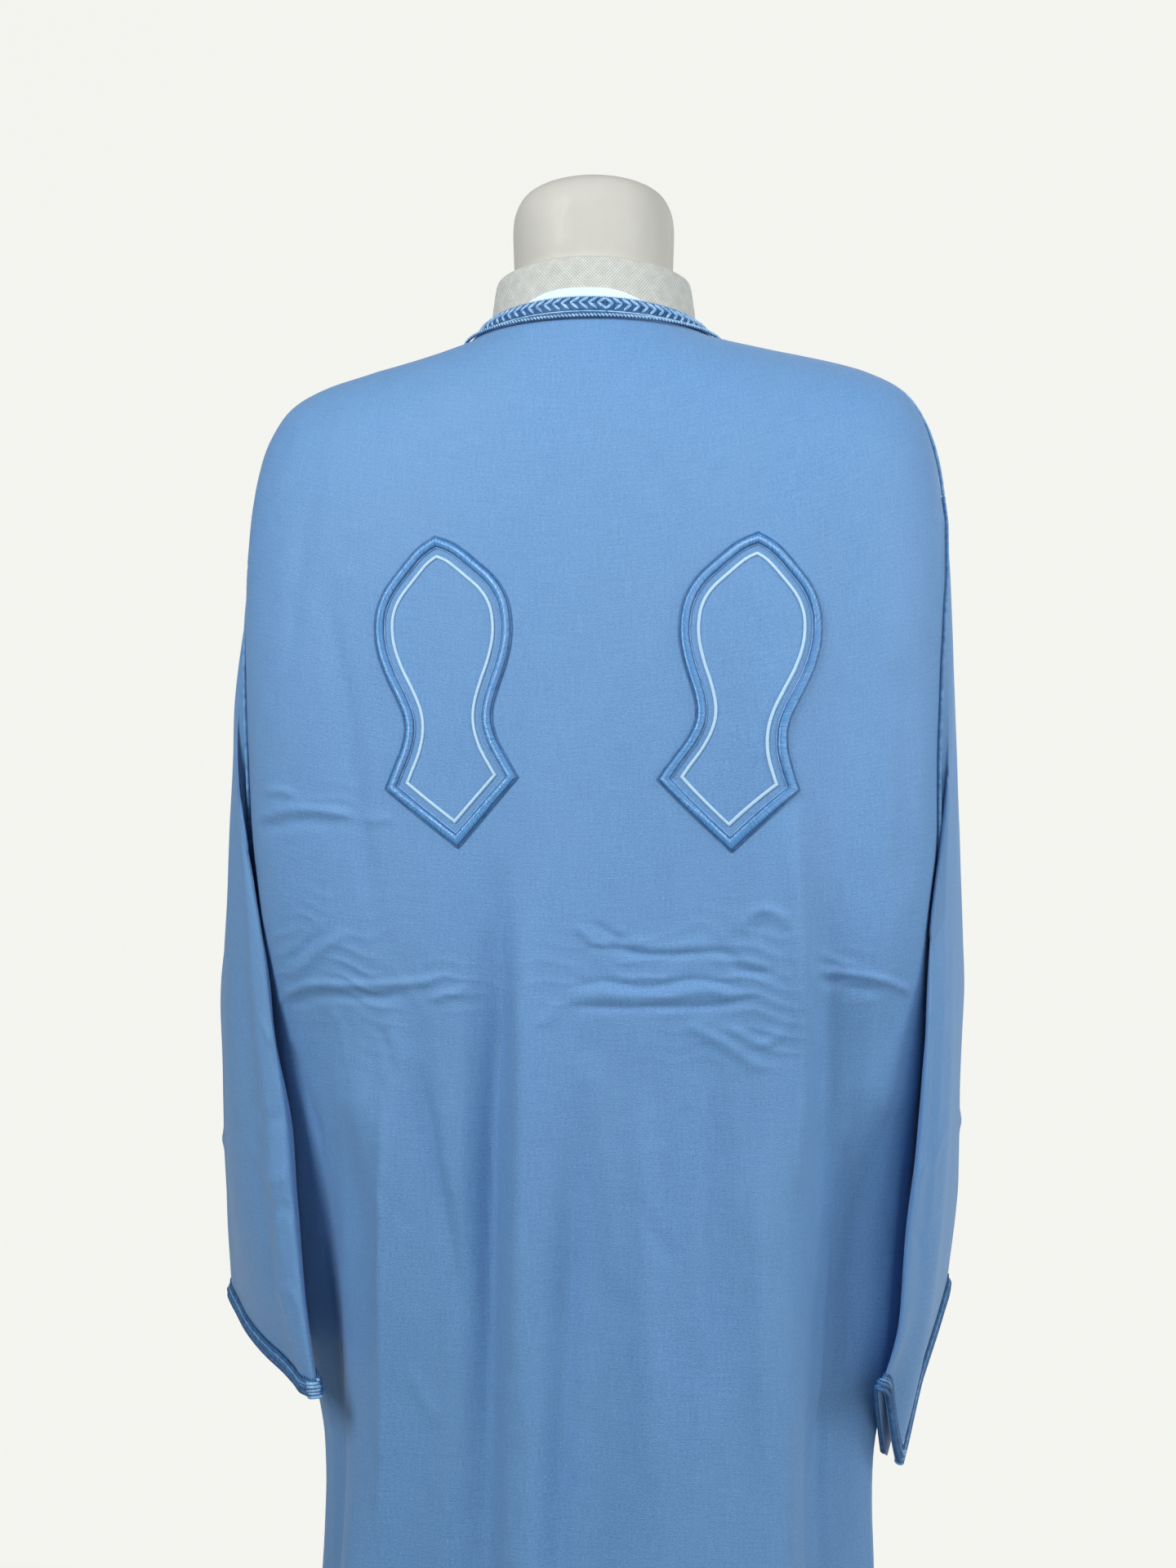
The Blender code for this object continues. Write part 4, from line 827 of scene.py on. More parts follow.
class Shaping:
    """Meshes made from Blender's own shapes, moved point by point onto the garment."""

    @staticmethod
    def grid(
        name: str, points: Array, uv: Array, wrap_columns: bool = False, wrap_rows: bool = False,
        wall: float = 0.0,
    ) -> Made:
        """A smooth sheet through a grid of points.

        Args:
            name: The object's name.
            points: Rows and columns of points. A wrapped grid repeats its first one last.
            uv: Two measures along the sheet for each point.
            wrap_columns: Joins the last column to the first.
            wrap_rows: Joins the last row to the first.
            wall: Thickness of the wall that is added on the inner side.

        Returns:
            The object.
        """
        rows, columns = points.shape[:2]
        work = bmesh.new()
        bmesh.ops.create_grid(work, x_segments=columns - 1, y_segments=rows - 1, size=1.0)
        layer = work.loops.layers.uv.new("cloth")
        places = [
            (round((spot.y + 1) / 2 * (rows - 1)), round((spot.x + 1) / 2 * (columns - 1)))
            for spot in (vertex.co for vertex in work.verts)
        ]
        for vertex, (i, j) in zip(work.verts, places):
            vertex.co = points[i, j]
            for loop in vertex.link_loops:
                loop[layer].uv = uv[i, j]
        rim = [
            vertex for vertex, (i, j) in zip(work.verts, places)
            if (wrap_columns and j in (0, columns - 1)) or (wrap_rows and i in (0, rows - 1))
        ]
        if rim:
            bmesh.ops.remove_doubles(work, verts=rim, dist=MERGE_DISTANCE)
        return Shaping.finished(name, work, wall)

    @staticmethod
    def finished(name: str, work: bmesh.types.BMesh, wall: float = 0.0) -> Made:
        """The object of a finished mesh, shaded smooth.

        Args:
            name: The object's name.
            work: The mesh, which is freed.
            wall: Thickness of the wall that is added on the inner side, if any.

        Returns:
            The object.
        """
        for face in work.faces:
            face.smooth = True
        mesh = bpy.data.meshes.new(name)
        work.to_mesh(mesh)
        work.free()
        made = linked(name, mesh)
        if wall:
            shell = made.modifiers.new("wall", "SOLIDIFY")
            shell.thickness = wall
            shell.offset = -1.0
            shell.use_rim = True
        return made

    @staticmethod
    def turned_out(made: Made, towards: Callable[[Vector], Vector]) -> Made:
        """Turns the faces over if most of them face away from the wanted direction.

        Args:
            made: The object.
            towards: Gives the wanted direction at a face's middle.

        Returns:
            The object.
        """
        score = sum(face.normal.dot(towards(face.center)) for face in made.data.polygons)
        if score < 0:
            made.data.flip_normals()
        return made

    @staticmethod
    def strands(
        name: str, lines: Sequence[Array], radius: float, closed: bool, sides: int = 1
    ) -> Made:
        """Round strands along lines of points, as one curve object.

        Args:
            name: The object's name.
            lines: A line of points for each strand.
            radius: The strands' radius.
            closed: Whether each strand joins up.
            sides: How round a strand is.

        Returns:
            The object.
        """
        data = bpy.data.curves.new(name, "CURVE")
        data.dimensions = "3D"
        data.bevel_depth = radius
        data.bevel_resolution = sides
        data.use_fill_caps = not closed
        for line in lines:
            spline = data.splines.new("POLY")
            spline.points.add(len(line) - 1)
            flat = np.concatenate([line, np.ones((len(line), 1))], axis=1)
            spline.points.foreach_set("co", flat.ravel().astype(np.float32))
            spline.use_cyclic_u = closed
            spline.use_smooth = True
        return linked(name, data)

    @staticmethod
    def beads(
        name: str, middles: Array, lengthwise: Array, upwards: Array, size: Triple,
        rounds: tuple[int, int],
    ) -> Made:
        """Many small padded stitches in one mesh.

        Args:
            name: The object's name.
            middles: The middle of each stitch.
            lengthwise: The direction of each.
            upwards: The outward direction at each.
            size: Half the length, half the width and half the height.
            rounds: Segments round a stitch, and rings along it.

        Returns:
            The object.
        """
        work = bmesh.new()
        long = unit(lengthwise)
        wide = unit(np.cross(upwards, long))
        high = np.cross(long, wide)
        laid = Matrix.Rotation(math.pi / 2, 4, "Y")
        for middle, a, b, c in zip(middles, long, wide, high):
            axes = np.stack([a * size[0], b * size[1], c * size[2], middle], axis=1)
            turn = Matrix((*axes.tolist(), (0.0, 0.0, 0.0, 1.0)))
            bmesh.ops.create_uvsphere(
                work, u_segments=rounds[0], v_segments=rounds[1], radius=1.0, matrix=turn @ laid
            )
        return Shaping.finished(name, work)


class Thread:
    """Lines along the cloth that cords and stitches follow."""

    @staticmethod
    def spaced(path: Array, guide: Array, step: float, closed: bool) -> tuple[Array, Array, Array]:
        """Evenly spaced points of a path.

        Args:
            path: Points along the path.
            guide: A direction for each point.
            step: The wanted spacing, which is fitted to the length.
            closed: Whether the path joins up.

        Returns:
            The points, their directions and the length from the start to each.
        """
        if closed:
            path = np.concatenate([path, path[:1]])
            guide = np.concatenate([guide, guide[:1]])
        run = running(np.linalg.norm(np.diff(path, axis=0), axis=1))
        at = np.linspace(0, run[-1], max(4, round(run[-1] / step)) + 1)
        if closed:
            at = at[:-1]
        return read_line(path, run, at), unit(read_line(guide, run, at)), at

    @staticmethod
    def tangents(points: Array, closed: bool) -> Array:
        """Directions along a line of points."""
        if closed:
            return unit(np.roll(points, -1, axis=0) - np.roll(points, 1, axis=0))
        return unit(np.gradient(points, axis=0))

    @staticmethod
    def twisted(
        path: Array, guide: Array, spread: float, pitch: float, closed: bool, strands: int = 3
    ) -> list[Array]:
        """Lines of a twisted cord's strands round a path.

        Args:
            path: Points along the cord's middle.
            guide: Outward directions there.
            spread: Distance of each strand from the middle.
            pitch: Length of one full twist.
            closed: Whether the cord joins up.
            strands: How many strands it has.

        Returns:
            A line of points for each strand.
        """
        points, guides, at = Thread.spaced(path, guide, pitch / 9, closed)
        ahead = Thread.tangents(points, closed)
        across = unit(np.cross(ahead, guides))
        up = np.cross(across, ahead)
        whole = len(points) * (at[1] - at[0])
        twists = round(whole / pitch)
        lines = []
        for strand in range(strands):
            turn = 2 * math.pi * (at / whole * twists + strand / strands)[:, None]
            lines.append(points + spread * (np.cos(turn) * across + np.sin(turn) * up))
        return lines


class Tree:
    """A material's nodes, added one after another."""

    def __init__(self, name: str) -> None:
        """Starts a material with its Principled shader."""
        self.material = bpy.data.materials.new(name)
        self.material.use_nodes = True
        self.nodes = self.material.node_tree.nodes
        self.links = self.material.node_tree.links
        self.shader = self.nodes["Principled BSDF"]

    def add(self, kind: str, inputs: dict[str, Value], **settings: str) -> bpy.types.Node:
        """A node of the tree.

        Args:
            kind: The node's type, without its first word.
            inputs: Values or links for its inputs.
            settings: Its own settings.

        Returns:
            The node.
        """
        node = self.nodes.new("ShaderNode" + kind)
        for key, value in settings.items():
            setattr(node, key, value)
        for key, value in inputs.items():
            self.put(node.inputs[key], value)
        return node

    def put(self, socket: Socket, value: Value) -> None:
        """Links a socket, or sets its value."""
        if isinstance(value, bpy.types.NodeSocket):
            self.links.new(value, socket)
        else:
            socket.default_value = value

    def set(self, **values: Value) -> None:
        """Sets the shader's own sockets, with underscores for spaces in their names."""
        for key, value in values.items():
            self.put(self.shader.inputs[key.replace("_", " ")], value)

    def cloth_measures(self) -> Socket:
        """The piece's own measures along the cloth, in metres."""
        return self.add("UVMap", {}, uv_map="cloth").outputs["UV"]

    def place(self) -> Socket:
        """The place on the object, in metres."""
        return self.add("TexCoord", {}).outputs["Object"]

    def part_of(self, source: Socket, axis: str) -> Socket:
        """One of the three numbers of a place."""
        return self.add("SeparateXYZ", {"Vector": source}).outputs[axis]

    def stretched(self, source: Socket, scale: Triple, turn: float = 0.0) -> Socket:
        """Coordinates scaled on each axis, and turned about Z."""
        inputs = {"Vector": source, "Scale": scale, "Rotation": (0, 0, turn)}
        return self.add("Mapping", inputs).outputs["Vector"]

    def noise(
        self, source: Socket, scale: float | Triple, detail: float = 2.0, rough: float = 0.5
    ) -> Socket:
        """Soft noise, from 0 to 1.

        Args:
            source: The coordinates.
            scale: How fine it is, the same on all axes or for each.
            detail: How many finer layers it has.
            rough: How strong they are.

        Returns:
            The noise.
        """
        if isinstance(scale, tuple):
            source, scale = self.stretched(source, scale), 1.0
        inputs = {"Vector": source, "Scale": scale, "Detail": detail, "Roughness": rough}
        return self.add("TexNoise", inputs).outputs["Fac"]

    def math(self, operation: str, *values: Socket | float) -> Socket:
        """One sum on one to three values."""
        node = self.add("Math", {}, operation=operation)
        for socket, value in zip(node.inputs, values):
            self.put(socket, value)
        return node.outputs[0]

    def weighed(self, *parts: tuple[Socket, float]) -> Socket:
        """The sum of some values, each times its weight."""
        total, *others = [self.math("MULTIPLY", value, weight) for value, weight in parts]
        for other in others:
            total = self.math("ADD", total, other)
        return total

    def spread(
        self, value: Socket, low: float, high: float, to_low: float = 0.0, to_high: float = 1.0
    ) -> Socket:
        """A value moved from one range to another, and held inside it."""
        inputs = {"Value": value, "From Min": low, "From Max": high}
        inputs |= {"To Min": to_low, "To Max": to_high}
        return self.add("MapRange", inputs).outputs["Result"]

    def blend(self, share: Socket, first: Socket | Colour, second: Socket | Colour) -> Socket:
        """A colour between two colours.

        Args:
            share: 0 for the first colour, 1 for the second.
            first: The first colour.
            second: The second colour.

        Returns:
            The colour.
        """
        node = self.add("Mix", {}, data_type="RGBA")
        sockets = {socket.name: socket for socket in node.inputs if socket.enabled}
        for key, value in (("Factor", share), ("A", first), ("B", second)):
            self.put(sockets[key], (*value, 1.0) if isinstance(value, tuple) else value)
        return next(socket for socket in node.outputs if socket.enabled)

    def bump(self, *layers: tuple[Socket, float, float]) -> None:
        """Bumps on the shader, one over another.

        Args:
            layers: For each, its height, its strength and its distance in metres.
        """
        normal = None
        for height, strength, distance in layers:
            node = self.add("Bump", {"Height": height, "Strength": strength, "Distance": distance})
            if normal is not None:
                self.links.new(normal, node.inputs["Normal"])
            normal = node.outputs["Normal"]
        self.links.new(normal, self.shader.inputs["Normal"])


@dataclass(frozen=True)
class CrepeFinish:
    """Light blue crepe with a soft sheen, a fine weave and thicker threads here and there."""

    colour: Colour = (0.140, 0.294, 0.530)
    deep: Colour = (0.082, 0.206, 0.430)
    pale: Colour = (0.150, 0.336, 0.640)
    sheen_tint: Colour = (0.62, 0.78, 1.0)
    upright_threads: Triple = (1100, 45, 1)
    level_threads: Triple = (40, 1000, 1)
    grain_scale: Triple = (540, 980, 1)
    cloud_scale: Triple = (9, 5, 1)
    cloud_share: float = 0.28

    def make(self) -> Material:
        """The material."""
        tree = Tree("crepe_cloth")
        measures = tree.cloth_measures()
        upright = tree.noise(measures, self.upright_threads, 2.0, 0.6)
        level = tree.noise(measures, self.level_threads, 2.0, 0.6)
        grain = tree.noise(measures, self.grain_scale, 4.0, 0.72)
        cloud = tree.noise(measures, self.cloud_scale, 3.0, 0.55)
        threads = tree.weighed((upright, 0.5), (level, 0.5))
        mixed = tree.weighed((threads, 0.35), (grain, 0.65))
        toned = tree.blend(tree.spread(mixed, 0.37, 0.63), self.deep, self.pale)
        clouded = tree.spread(cloud, 0.35, 0.65, 0.0, self.cloud_share)
        tree.set(
            Base_Color=tree.blend(clouded, toned, self.colour),
            Roughness=tree.spread(mixed, 0.3, 0.7, 0.50, 0.62), Specular_IOR_Level=0.36,
            Sheen_Weight=0.18, Sheen_Roughness=0.45, Sheen_Tint=(*self.sheen_tint, 1.0),
        )
        tree.bump((threads, 0.45, 0.00030), (grain, 0.9, 0.00055))
        return tree.material


@dataclass(frozen=True)
class ThreadFinish:
    """Silky embroidery thread or cord, darker in the hollows of its fibre bumps as painted shade and
    paler on their tops as painted highlight, with random patches besides.
    """

    name: str
    colour: Colour
    pale: Colour
    fibres: float = 2600.0
    fibre_stretch: Triple = (1.0, 1.0, 1.6)
    patches: float = 210.0
    roughness: float = 0.36
    sheen: float = 0.15

    def make(self) -> Material:
        """The material."""
        tree = Tree(self.name)
        place = tree.place()
        fibre = tree.noise(tree.stretched(place, self.fibre_stretch), self.fibres, 2.0, 0.6)
        # The colour follows the fibre bump: painted shade in its hollows, painted highlight on its
        # tops; the patches vary at random
        mixed = tree.weighed((fibre, 0.50), (tree.noise(place, self.patches), 0.50))
        tree.set(
            Base_Color=tree.blend(tree.spread(mixed, 0.40, 0.60), self.colour, self.pale),
            Roughness=self.roughness, Specular_IOR_Level=0.6, Sheen_Weight=self.sheen,
            Sheen_Roughness=0.35,
        )
        tree.bump((fibre, 0.35, 0.00015))
        return tree.material


@dataclass(frozen=True)
class SatinStitchFinish:
    """Satin stitch: fine glossy threads side by side across a padded band, its colour darkened towards
    the band's edges as painted shade of the padding's sides.
    """

    name: str
    colour: Colour
    pale: Colour
    thread: float = 0.00070
    # From 0.55 of this distance from the band's middle out to it, the colour darkens to the dark tone
    # as painted shade of the padding's sides
    edge: float = 0.0034
    wander_scale: Triple = (420, 60, 1)
    wander: float = 5.0
    streak_scale: Triple = (900, 55, 1)
    roughness: float = 0.21
    sheen: float = 0.12

    def make(self) -> Material:
        """The material."""
        tree = Tree(self.name)
        measures = tree.cloth_measures()
        run, across = tree.part_of(measures, "X"), tree.part_of(measures, "Y")
        wander = tree.noise(measures, self.wander_scale)
        phase = tree.weighed((run, 2 * math.pi / self.thread), (wander, self.wander))
        ridge = tree.spread(tree.math("SINE", phase), -1.0, 1.0)
        streak = tree.noise(measures, self.streak_scale, 2.0, 0.6)
        # Painted shade: near the band's edges the colour is pulled to the dark tone where the
        # padding's sides turn away from the light
        to_edge = tree.math("ABSOLUTE", across)
        inside = tree.spread(to_edge, self.edge * 0.55, self.edge, 1.0, 0.0)
        mixed = tree.spread(tree.weighed((ridge, 0.30), (streak, 0.70)), 0.30, 0.70)
        tree.set(
            Base_Color=tree.blend(tree.math("MULTIPLY", mixed, inside), self.colour, self.pale),
            Roughness=self.roughness, Specular_IOR_Level=0.72, Sheen_Weight=self.sheen,
            Sheen_Roughness=0.3,
        )
        tree.bump((ridge, 0.50, 0.00018), (streak, 0.60, 0.00035))
        return tree.material


@dataclass(frozen=True)
class StripFinish:
    """The smooth pale strip of folded cotton inside the neck."""

    colour: Colour = (0.60, 0.79, 0.90)
    pale: Colour = (0.68, 0.86, 0.95)
    weave_scale: float = 1500.0
    cloud_scale: float = 60.0

    def make(self) -> Material:
        """The material."""
        tree = Tree("pale_cotton")
        place = tree.place()
        cloud = tree.spread(tree.noise(place, self.cloud_scale), 0.3, 0.7)
        tree.set(
            Base_Color=tree.blend(cloud, self.colour, self.pale), Roughness=0.62,
            Specular_IOR_Level=0.35,
        )
        tree.bump((tree.noise(place, self.weave_scale, 2.0, 0.6), 0.25, 0.00015))
        return tree.material


@dataclass(frozen=True)
class FormFinish:
    """The dress form's pale grey cover, smooth under a clear film."""

    colour: Colour = (0.455, 0.458, 0.430)
    pale: Colour = (0.485, 0.488, 0.458)
    weave_scale: float = 1300.0
    cloud_scale: float = 22.0
    crinkle_scale: float = 70.0
    crinkle_stretch: Triple = (1.0, 1.0, 0.45)
    crinkle_turn: float = 0.4

    def make(self) -> Material:
        """The material."""
        tree = Tree("form_cover")
        place = tree.place()
        weave = tree.noise(place, self.weave_scale, 2.0, 0.6)
        cloud = tree.noise(place, self.cloud_scale, 3.0, 0.55)
        stretched = tree.stretched(place, self.crinkle_stretch, self.crinkle_turn)
        crinkle = tree.noise(stretched, self.crinkle_scale, 3.0, 0.7)
        tree.set(
            Base_Color=tree.blend(tree.spread(cloud, 0.35, 0.65), self.colour, self.pale),
            Roughness=tree.spread(crinkle, 0.4, 0.6, 0.50, 0.72), Specular_IOR_Level=0.35,
        )
        tree.bump((weave, 0.20, 0.0002), (crinkle, 0.22, 0.0012))
        return tree.material


@dataclass(frozen=True)
class NetFinish:
    """The form's collar band of pale net, knitted in lozenges."""

    colour: Colour = (0.385, 0.395, 0.375)
    pale: Colour = (0.690, 0.735, 0.730)
    cell: float = 0.0019
    lozenge: float = 0.0150
    slant: float = 0.62
    uneven_scale: Triple = (240, 240, 1)

    def lattice(self, tree: Tree, measures: Socket, size: float) -> Socket:
        """Two crossing sets of slanting lines.

        Args:
            tree: The material's nodes.
            measures: The measures along the net.
            size: Distance between the lines.

        Returns:
            0 in the cells and 1 on the lines.
        """
        waves = []
        for turn in (self.slant, -self.slant):
            x = tree.part_of(tree.stretched(measures, (1 / size, 1 / size, 1), turn), "X")
            wave = tree.math("SINE", tree.math("MULTIPLY", x, math.pi))
            waves.append(tree.math("ABSOLUTE", wave))
        return tree.math("SUBTRACT", 1.0, tree.math("MINIMUM", *waves))

    def make(self) -> Material:
        """The material."""
        tree = Tree("form_net")
        measures = tree.cloth_measures()
        fine = self.lattice(tree, measures, self.cell)
        large = self.lattice(tree, measures, self.lozenge)
        uneven = tree.noise(measures, self.uneven_scale, 2.0, 0.6)
        mixed = tree.weighed((fine, 0.72), (large, 0.12), (uneven, 0.40))
        tree.set(
            Base_Color=tree.blend(tree.spread(mixed, 0.45, 1.05), self.colour, self.pale),
            Roughness=0.60, Specular_IOR_Level=0.35,
        )
        tree.bump((fine, 0.60, 0.0005), (large, 0.15, 0.0004))
        return tree.material


@dataclass(frozen=True)
class SteelFinish:
    """Brushed steel of the stand, with faint smudges."""

    colour: Colour = (0.560, 0.570, 0.580)
    pale: Colour = (0.640, 0.650, 0.660)
    brushed_scale: float = 60.0
    brushed_stretch: Triple = (1.0, 1.0, 40.0)
    smudge_scale: float = 14.0

    def make(self) -> Material:
        """The material."""
        tree = Tree("brushed_steel")
        place = tree.place()
        stretched = tree.stretched(place, self.brushed_stretch)
        brushed = tree.noise(stretched, self.brushed_scale, 3.0, 0.6)
        smudge = tree.noise(place, self.smudge_scale, 3.0, 0.55)
        tree.set(
            Base_Color=tree.blend(smudge, self.colour, self.pale), Metallic=1.0,
            Roughness=tree.spread(smudge, 0.3, 0.7, 0.24, 0.40),
        )
        tree.bump((brushed, 0.12, 0.0002))
        return tree.material


@dataclass(frozen=True)
class BackdropFinish:
    """Plain pale paper, its upright part lit from behind so that it stays even."""

    colour: Colour = (0.905, 0.913, 0.871)
    floor: Colour = (0.680, 0.685, 0.655)
    unlit: Colour = (0.02, 0.02, 0.02)
    glow: float = 0.985
    glow_from: float = 0.30
    glow_full: float = 1.15

    def make(self) -> Material:
        """The material."""
        tree = Tree("pale_backdrop")
        behind = tree.part_of(tree.place(), "Y")
        rise = tree.spread(behind, self.glow_from, self.glow_full)
        tree.set(
            Base_Color=tree.blend(rise, self.floor, self.unlit),
            Emission_Strength=tree.math("MULTIPLY", rise, self.glow),
            Emission_Color=(*self.colour, 1.0), Roughness=0.95, Specular_IOR_Level=0.0,
        )
        return tree.material


class Finishes:
    """Each finish's material, made once and shared."""

    def __init__(self) -> None:
        """Makes the materials."""
        self.crepe = CrepeFinish().make()
        self.braid = ThreadFinish(
            "braid_thread", (0.012, 0.070, 0.195), (0.040, 0.158, 0.365), roughness=0.45, sheen=0.0
        ).make()
        self.braid_light, self.cord, self.leaf, self.cord_light = (
            ThreadFinish(name, colour, pale).make()
            for name, colour, pale in (
                ("braid_light", (0.060, 0.185, 0.420), (0.170, 0.380, 0.650)),
                ("cord_thread", (0.120, 0.300, 0.570), (0.270, 0.500, 0.750)),
                ("leaf_thread", (0.085, 0.245, 0.510), (0.360, 0.590, 0.840)),
                ("cord_light_thread", (0.180, 0.390, 0.660), (0.420, 0.640, 0.850)),
            )
        )
        self.satin = SatinStitchFinish(
            "satin_stitch", (0.010, 0.082, 0.280), (0.132, 0.400, 0.780), sheen=0.0
        ).make()
        self.pale = SatinStitchFinish(
            "pale_stitch", (0.310, 0.520, 0.720), (0.480, 0.700, 0.860), edge=0.0060,
            roughness=0.42,
        ).make()
        self.strip = StripFinish().make()
        self.form = FormFinish().make()
        self.net = NetFinish().make()
        self.steel = SteelFinish().make()
        self.backdrop = BackdropFinish().make()


@dataclass(frozen=True)
class CombStitch:
    """Sizes of the stitches that lie across the edge of a trim like a comb's teeth."""

    step: float
    size: Triple
    slant: float
    inwards: float = 0.0
    lift: float = 0.0
    rounds: tuple[int, int] = (6, 4)


@dataclass
class Piece:
    """A sub-assembly's common work: dressing what it makes and reporting it."""

    finishes: Finishes

    def dress(self, made: Made, material: Material, slot: Slot, *nodes: str) -> Made:
        """Gives a piece its material, lets it ride, and hides what it stands for.

        Args:
            made: The piece.
            material: Its material.
            slot: The record's slot of its finish. Not used.
            nodes: CAD nodes that it replaces.

        Returns:
            The piece.
        """
        made.data.materials.clear()
        made.data.materials.append(material)
        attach(made, "root")
        if nodes:
            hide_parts(*nodes)
        LOG.info("%s built", made.name)
        return made

    def strand(
        self, name: str, lines: Sequence[Array], radius: float, closed: bool,
        material: Material, slot: Slot, *nodes: str,
    ) -> Made:
        """Builds and dresses round strands, with what Shaping.strands and dress take."""
        return self.dress(Shaping.strands(name, lines, radius, closed), material, slot, *nodes)

    def comb(
        self, name: str, path: Array, guide: Array, towards: Array, stitch: CombStitch,
        material: Material,
    ) -> Made:
        """Short slanting stitches across a closed line.

        Args:
            name: The piece's name.
            path: Points of the line.
            guide: Outward directions there.
            towards: The direction in which the stitches run, about.
            stitch: Their sizes.
            material: Their material.

        Returns:
            The piece.
        """
        spots, ups, _ = Thread.spaced(path, guide, stitch.step, True)
        ahead = Thread.tangents(spots, True)
        inward = unit(np.cross(ups, ahead))
        if (inward @ towards).mean() < 0:
            inward = -inward
        middles = spots + stitch.inwards * inward + stitch.lift * ups
        lengthwise = inward + stitch.slant * ahead
        made = Shaping.beads(name, middles, lengthwise, ups, stitch.size, stitch.rounds)
        return self.dress(made, material, Slot.BRAID)


@dataclass
class Panel(Piece):
    """The back or the front of the garment, cut along the shoulder and side seams."""

    form: GarmentForm
    at_back: bool
    columns_each: int = 88
    wall: float = 0.0011
    seam_half_gap: float = 0.00018
    front_angle: float = math.pi - 1e-6
    row_spacing: Rows = (
        (0.10, 0.0160), (0.62, 0.0130), (0.70, 0.0064), (0.96, 0.0054), (0.985, 0.0015),
        (1.095, 0.0015), (1.105, 0.0032), (1.135, 0.0030), (1.143, 0.0016), (1.176, 0.0016),
        (1.190, 0.0050), (1.60, 0.0060),
    )
    flat: tuple[float, float] = (0.66, 1.47)
    flat_area: float = 0.92

    def row_list(self) -> Array:
        """Rows of points down the panel, closer where the creases are."""
        rows = np.arange(NECK_ROW * self.form.row_steps, len(self.form.points))
        rows = rows / self.form.row_steps
        heights = self.form.at(rows, np.array(0.0 if self.at_back else self.front_angle))[:, 2]
        stops, steps = np.array(self.row_spacing).T
        cost = np.abs(np.diff(heights)) / np.interp((heights[1:] + heights[:-1]) / 2, stops, steps)
        run = running(cost)
        return np.interp(np.linspace(0, run[-1], round(run[-1]) + 1), run, rows)

    def angles(self, row: float) -> tuple[Array, Array]:
        """The panel's points on one row.

        Args:
            row: The row.

        Returns:
            Their angles and their distances across.
        """
        reach = []
        for side in Side:
            seam = self.form.side_at(row)
            if not self.at_back:
                seam = self.form.half_at(row) - seam
            reach.append(seam - float(self.form.opening(side, row)) - self.seam_half_gap)
        shares = np.linspace(0, 1, self.columns_each + 1)
        across = np.concatenate([-reach[0] * shares[::-1], reach[1] * shares[1:]])
        if self.at_back:
            return self.form.angle_at(row, across), across
        around = np.where(across < 0, -1, 1) * (self.form.half_at(row) - np.abs(across))
        return self.form.angle_at(row, around), across

    def build(self) -> Made:
        """The panel, a sheet of cloth with a thin wall."""
        name, out = ("back", -1.0) if self.at_back else ("front", 1.0)
        points, measures, down = [], [], 0.0
        for row in self.row_list():
            angles, across = self.angles(row)
            points.append(self.form.at(row, angles))
            if len(points) > 1:
                step = points[-1][self.columns_each] - points[-2][self.columns_each]
                down += float(np.linalg.norm(step))
            measures.append(np.stack([across, np.full_like(across, down)], axis=1))
        made = Shaping.grid(name + "_cloth", np.array(points), np.array(measures), wall=self.wall)
        Shaping.turned_out(made, lambda centre: Vector((0.0, out, 0.0)))
        return self.dress(made, self.finishes.crepe, Slot.CREPE, name + "_panel")


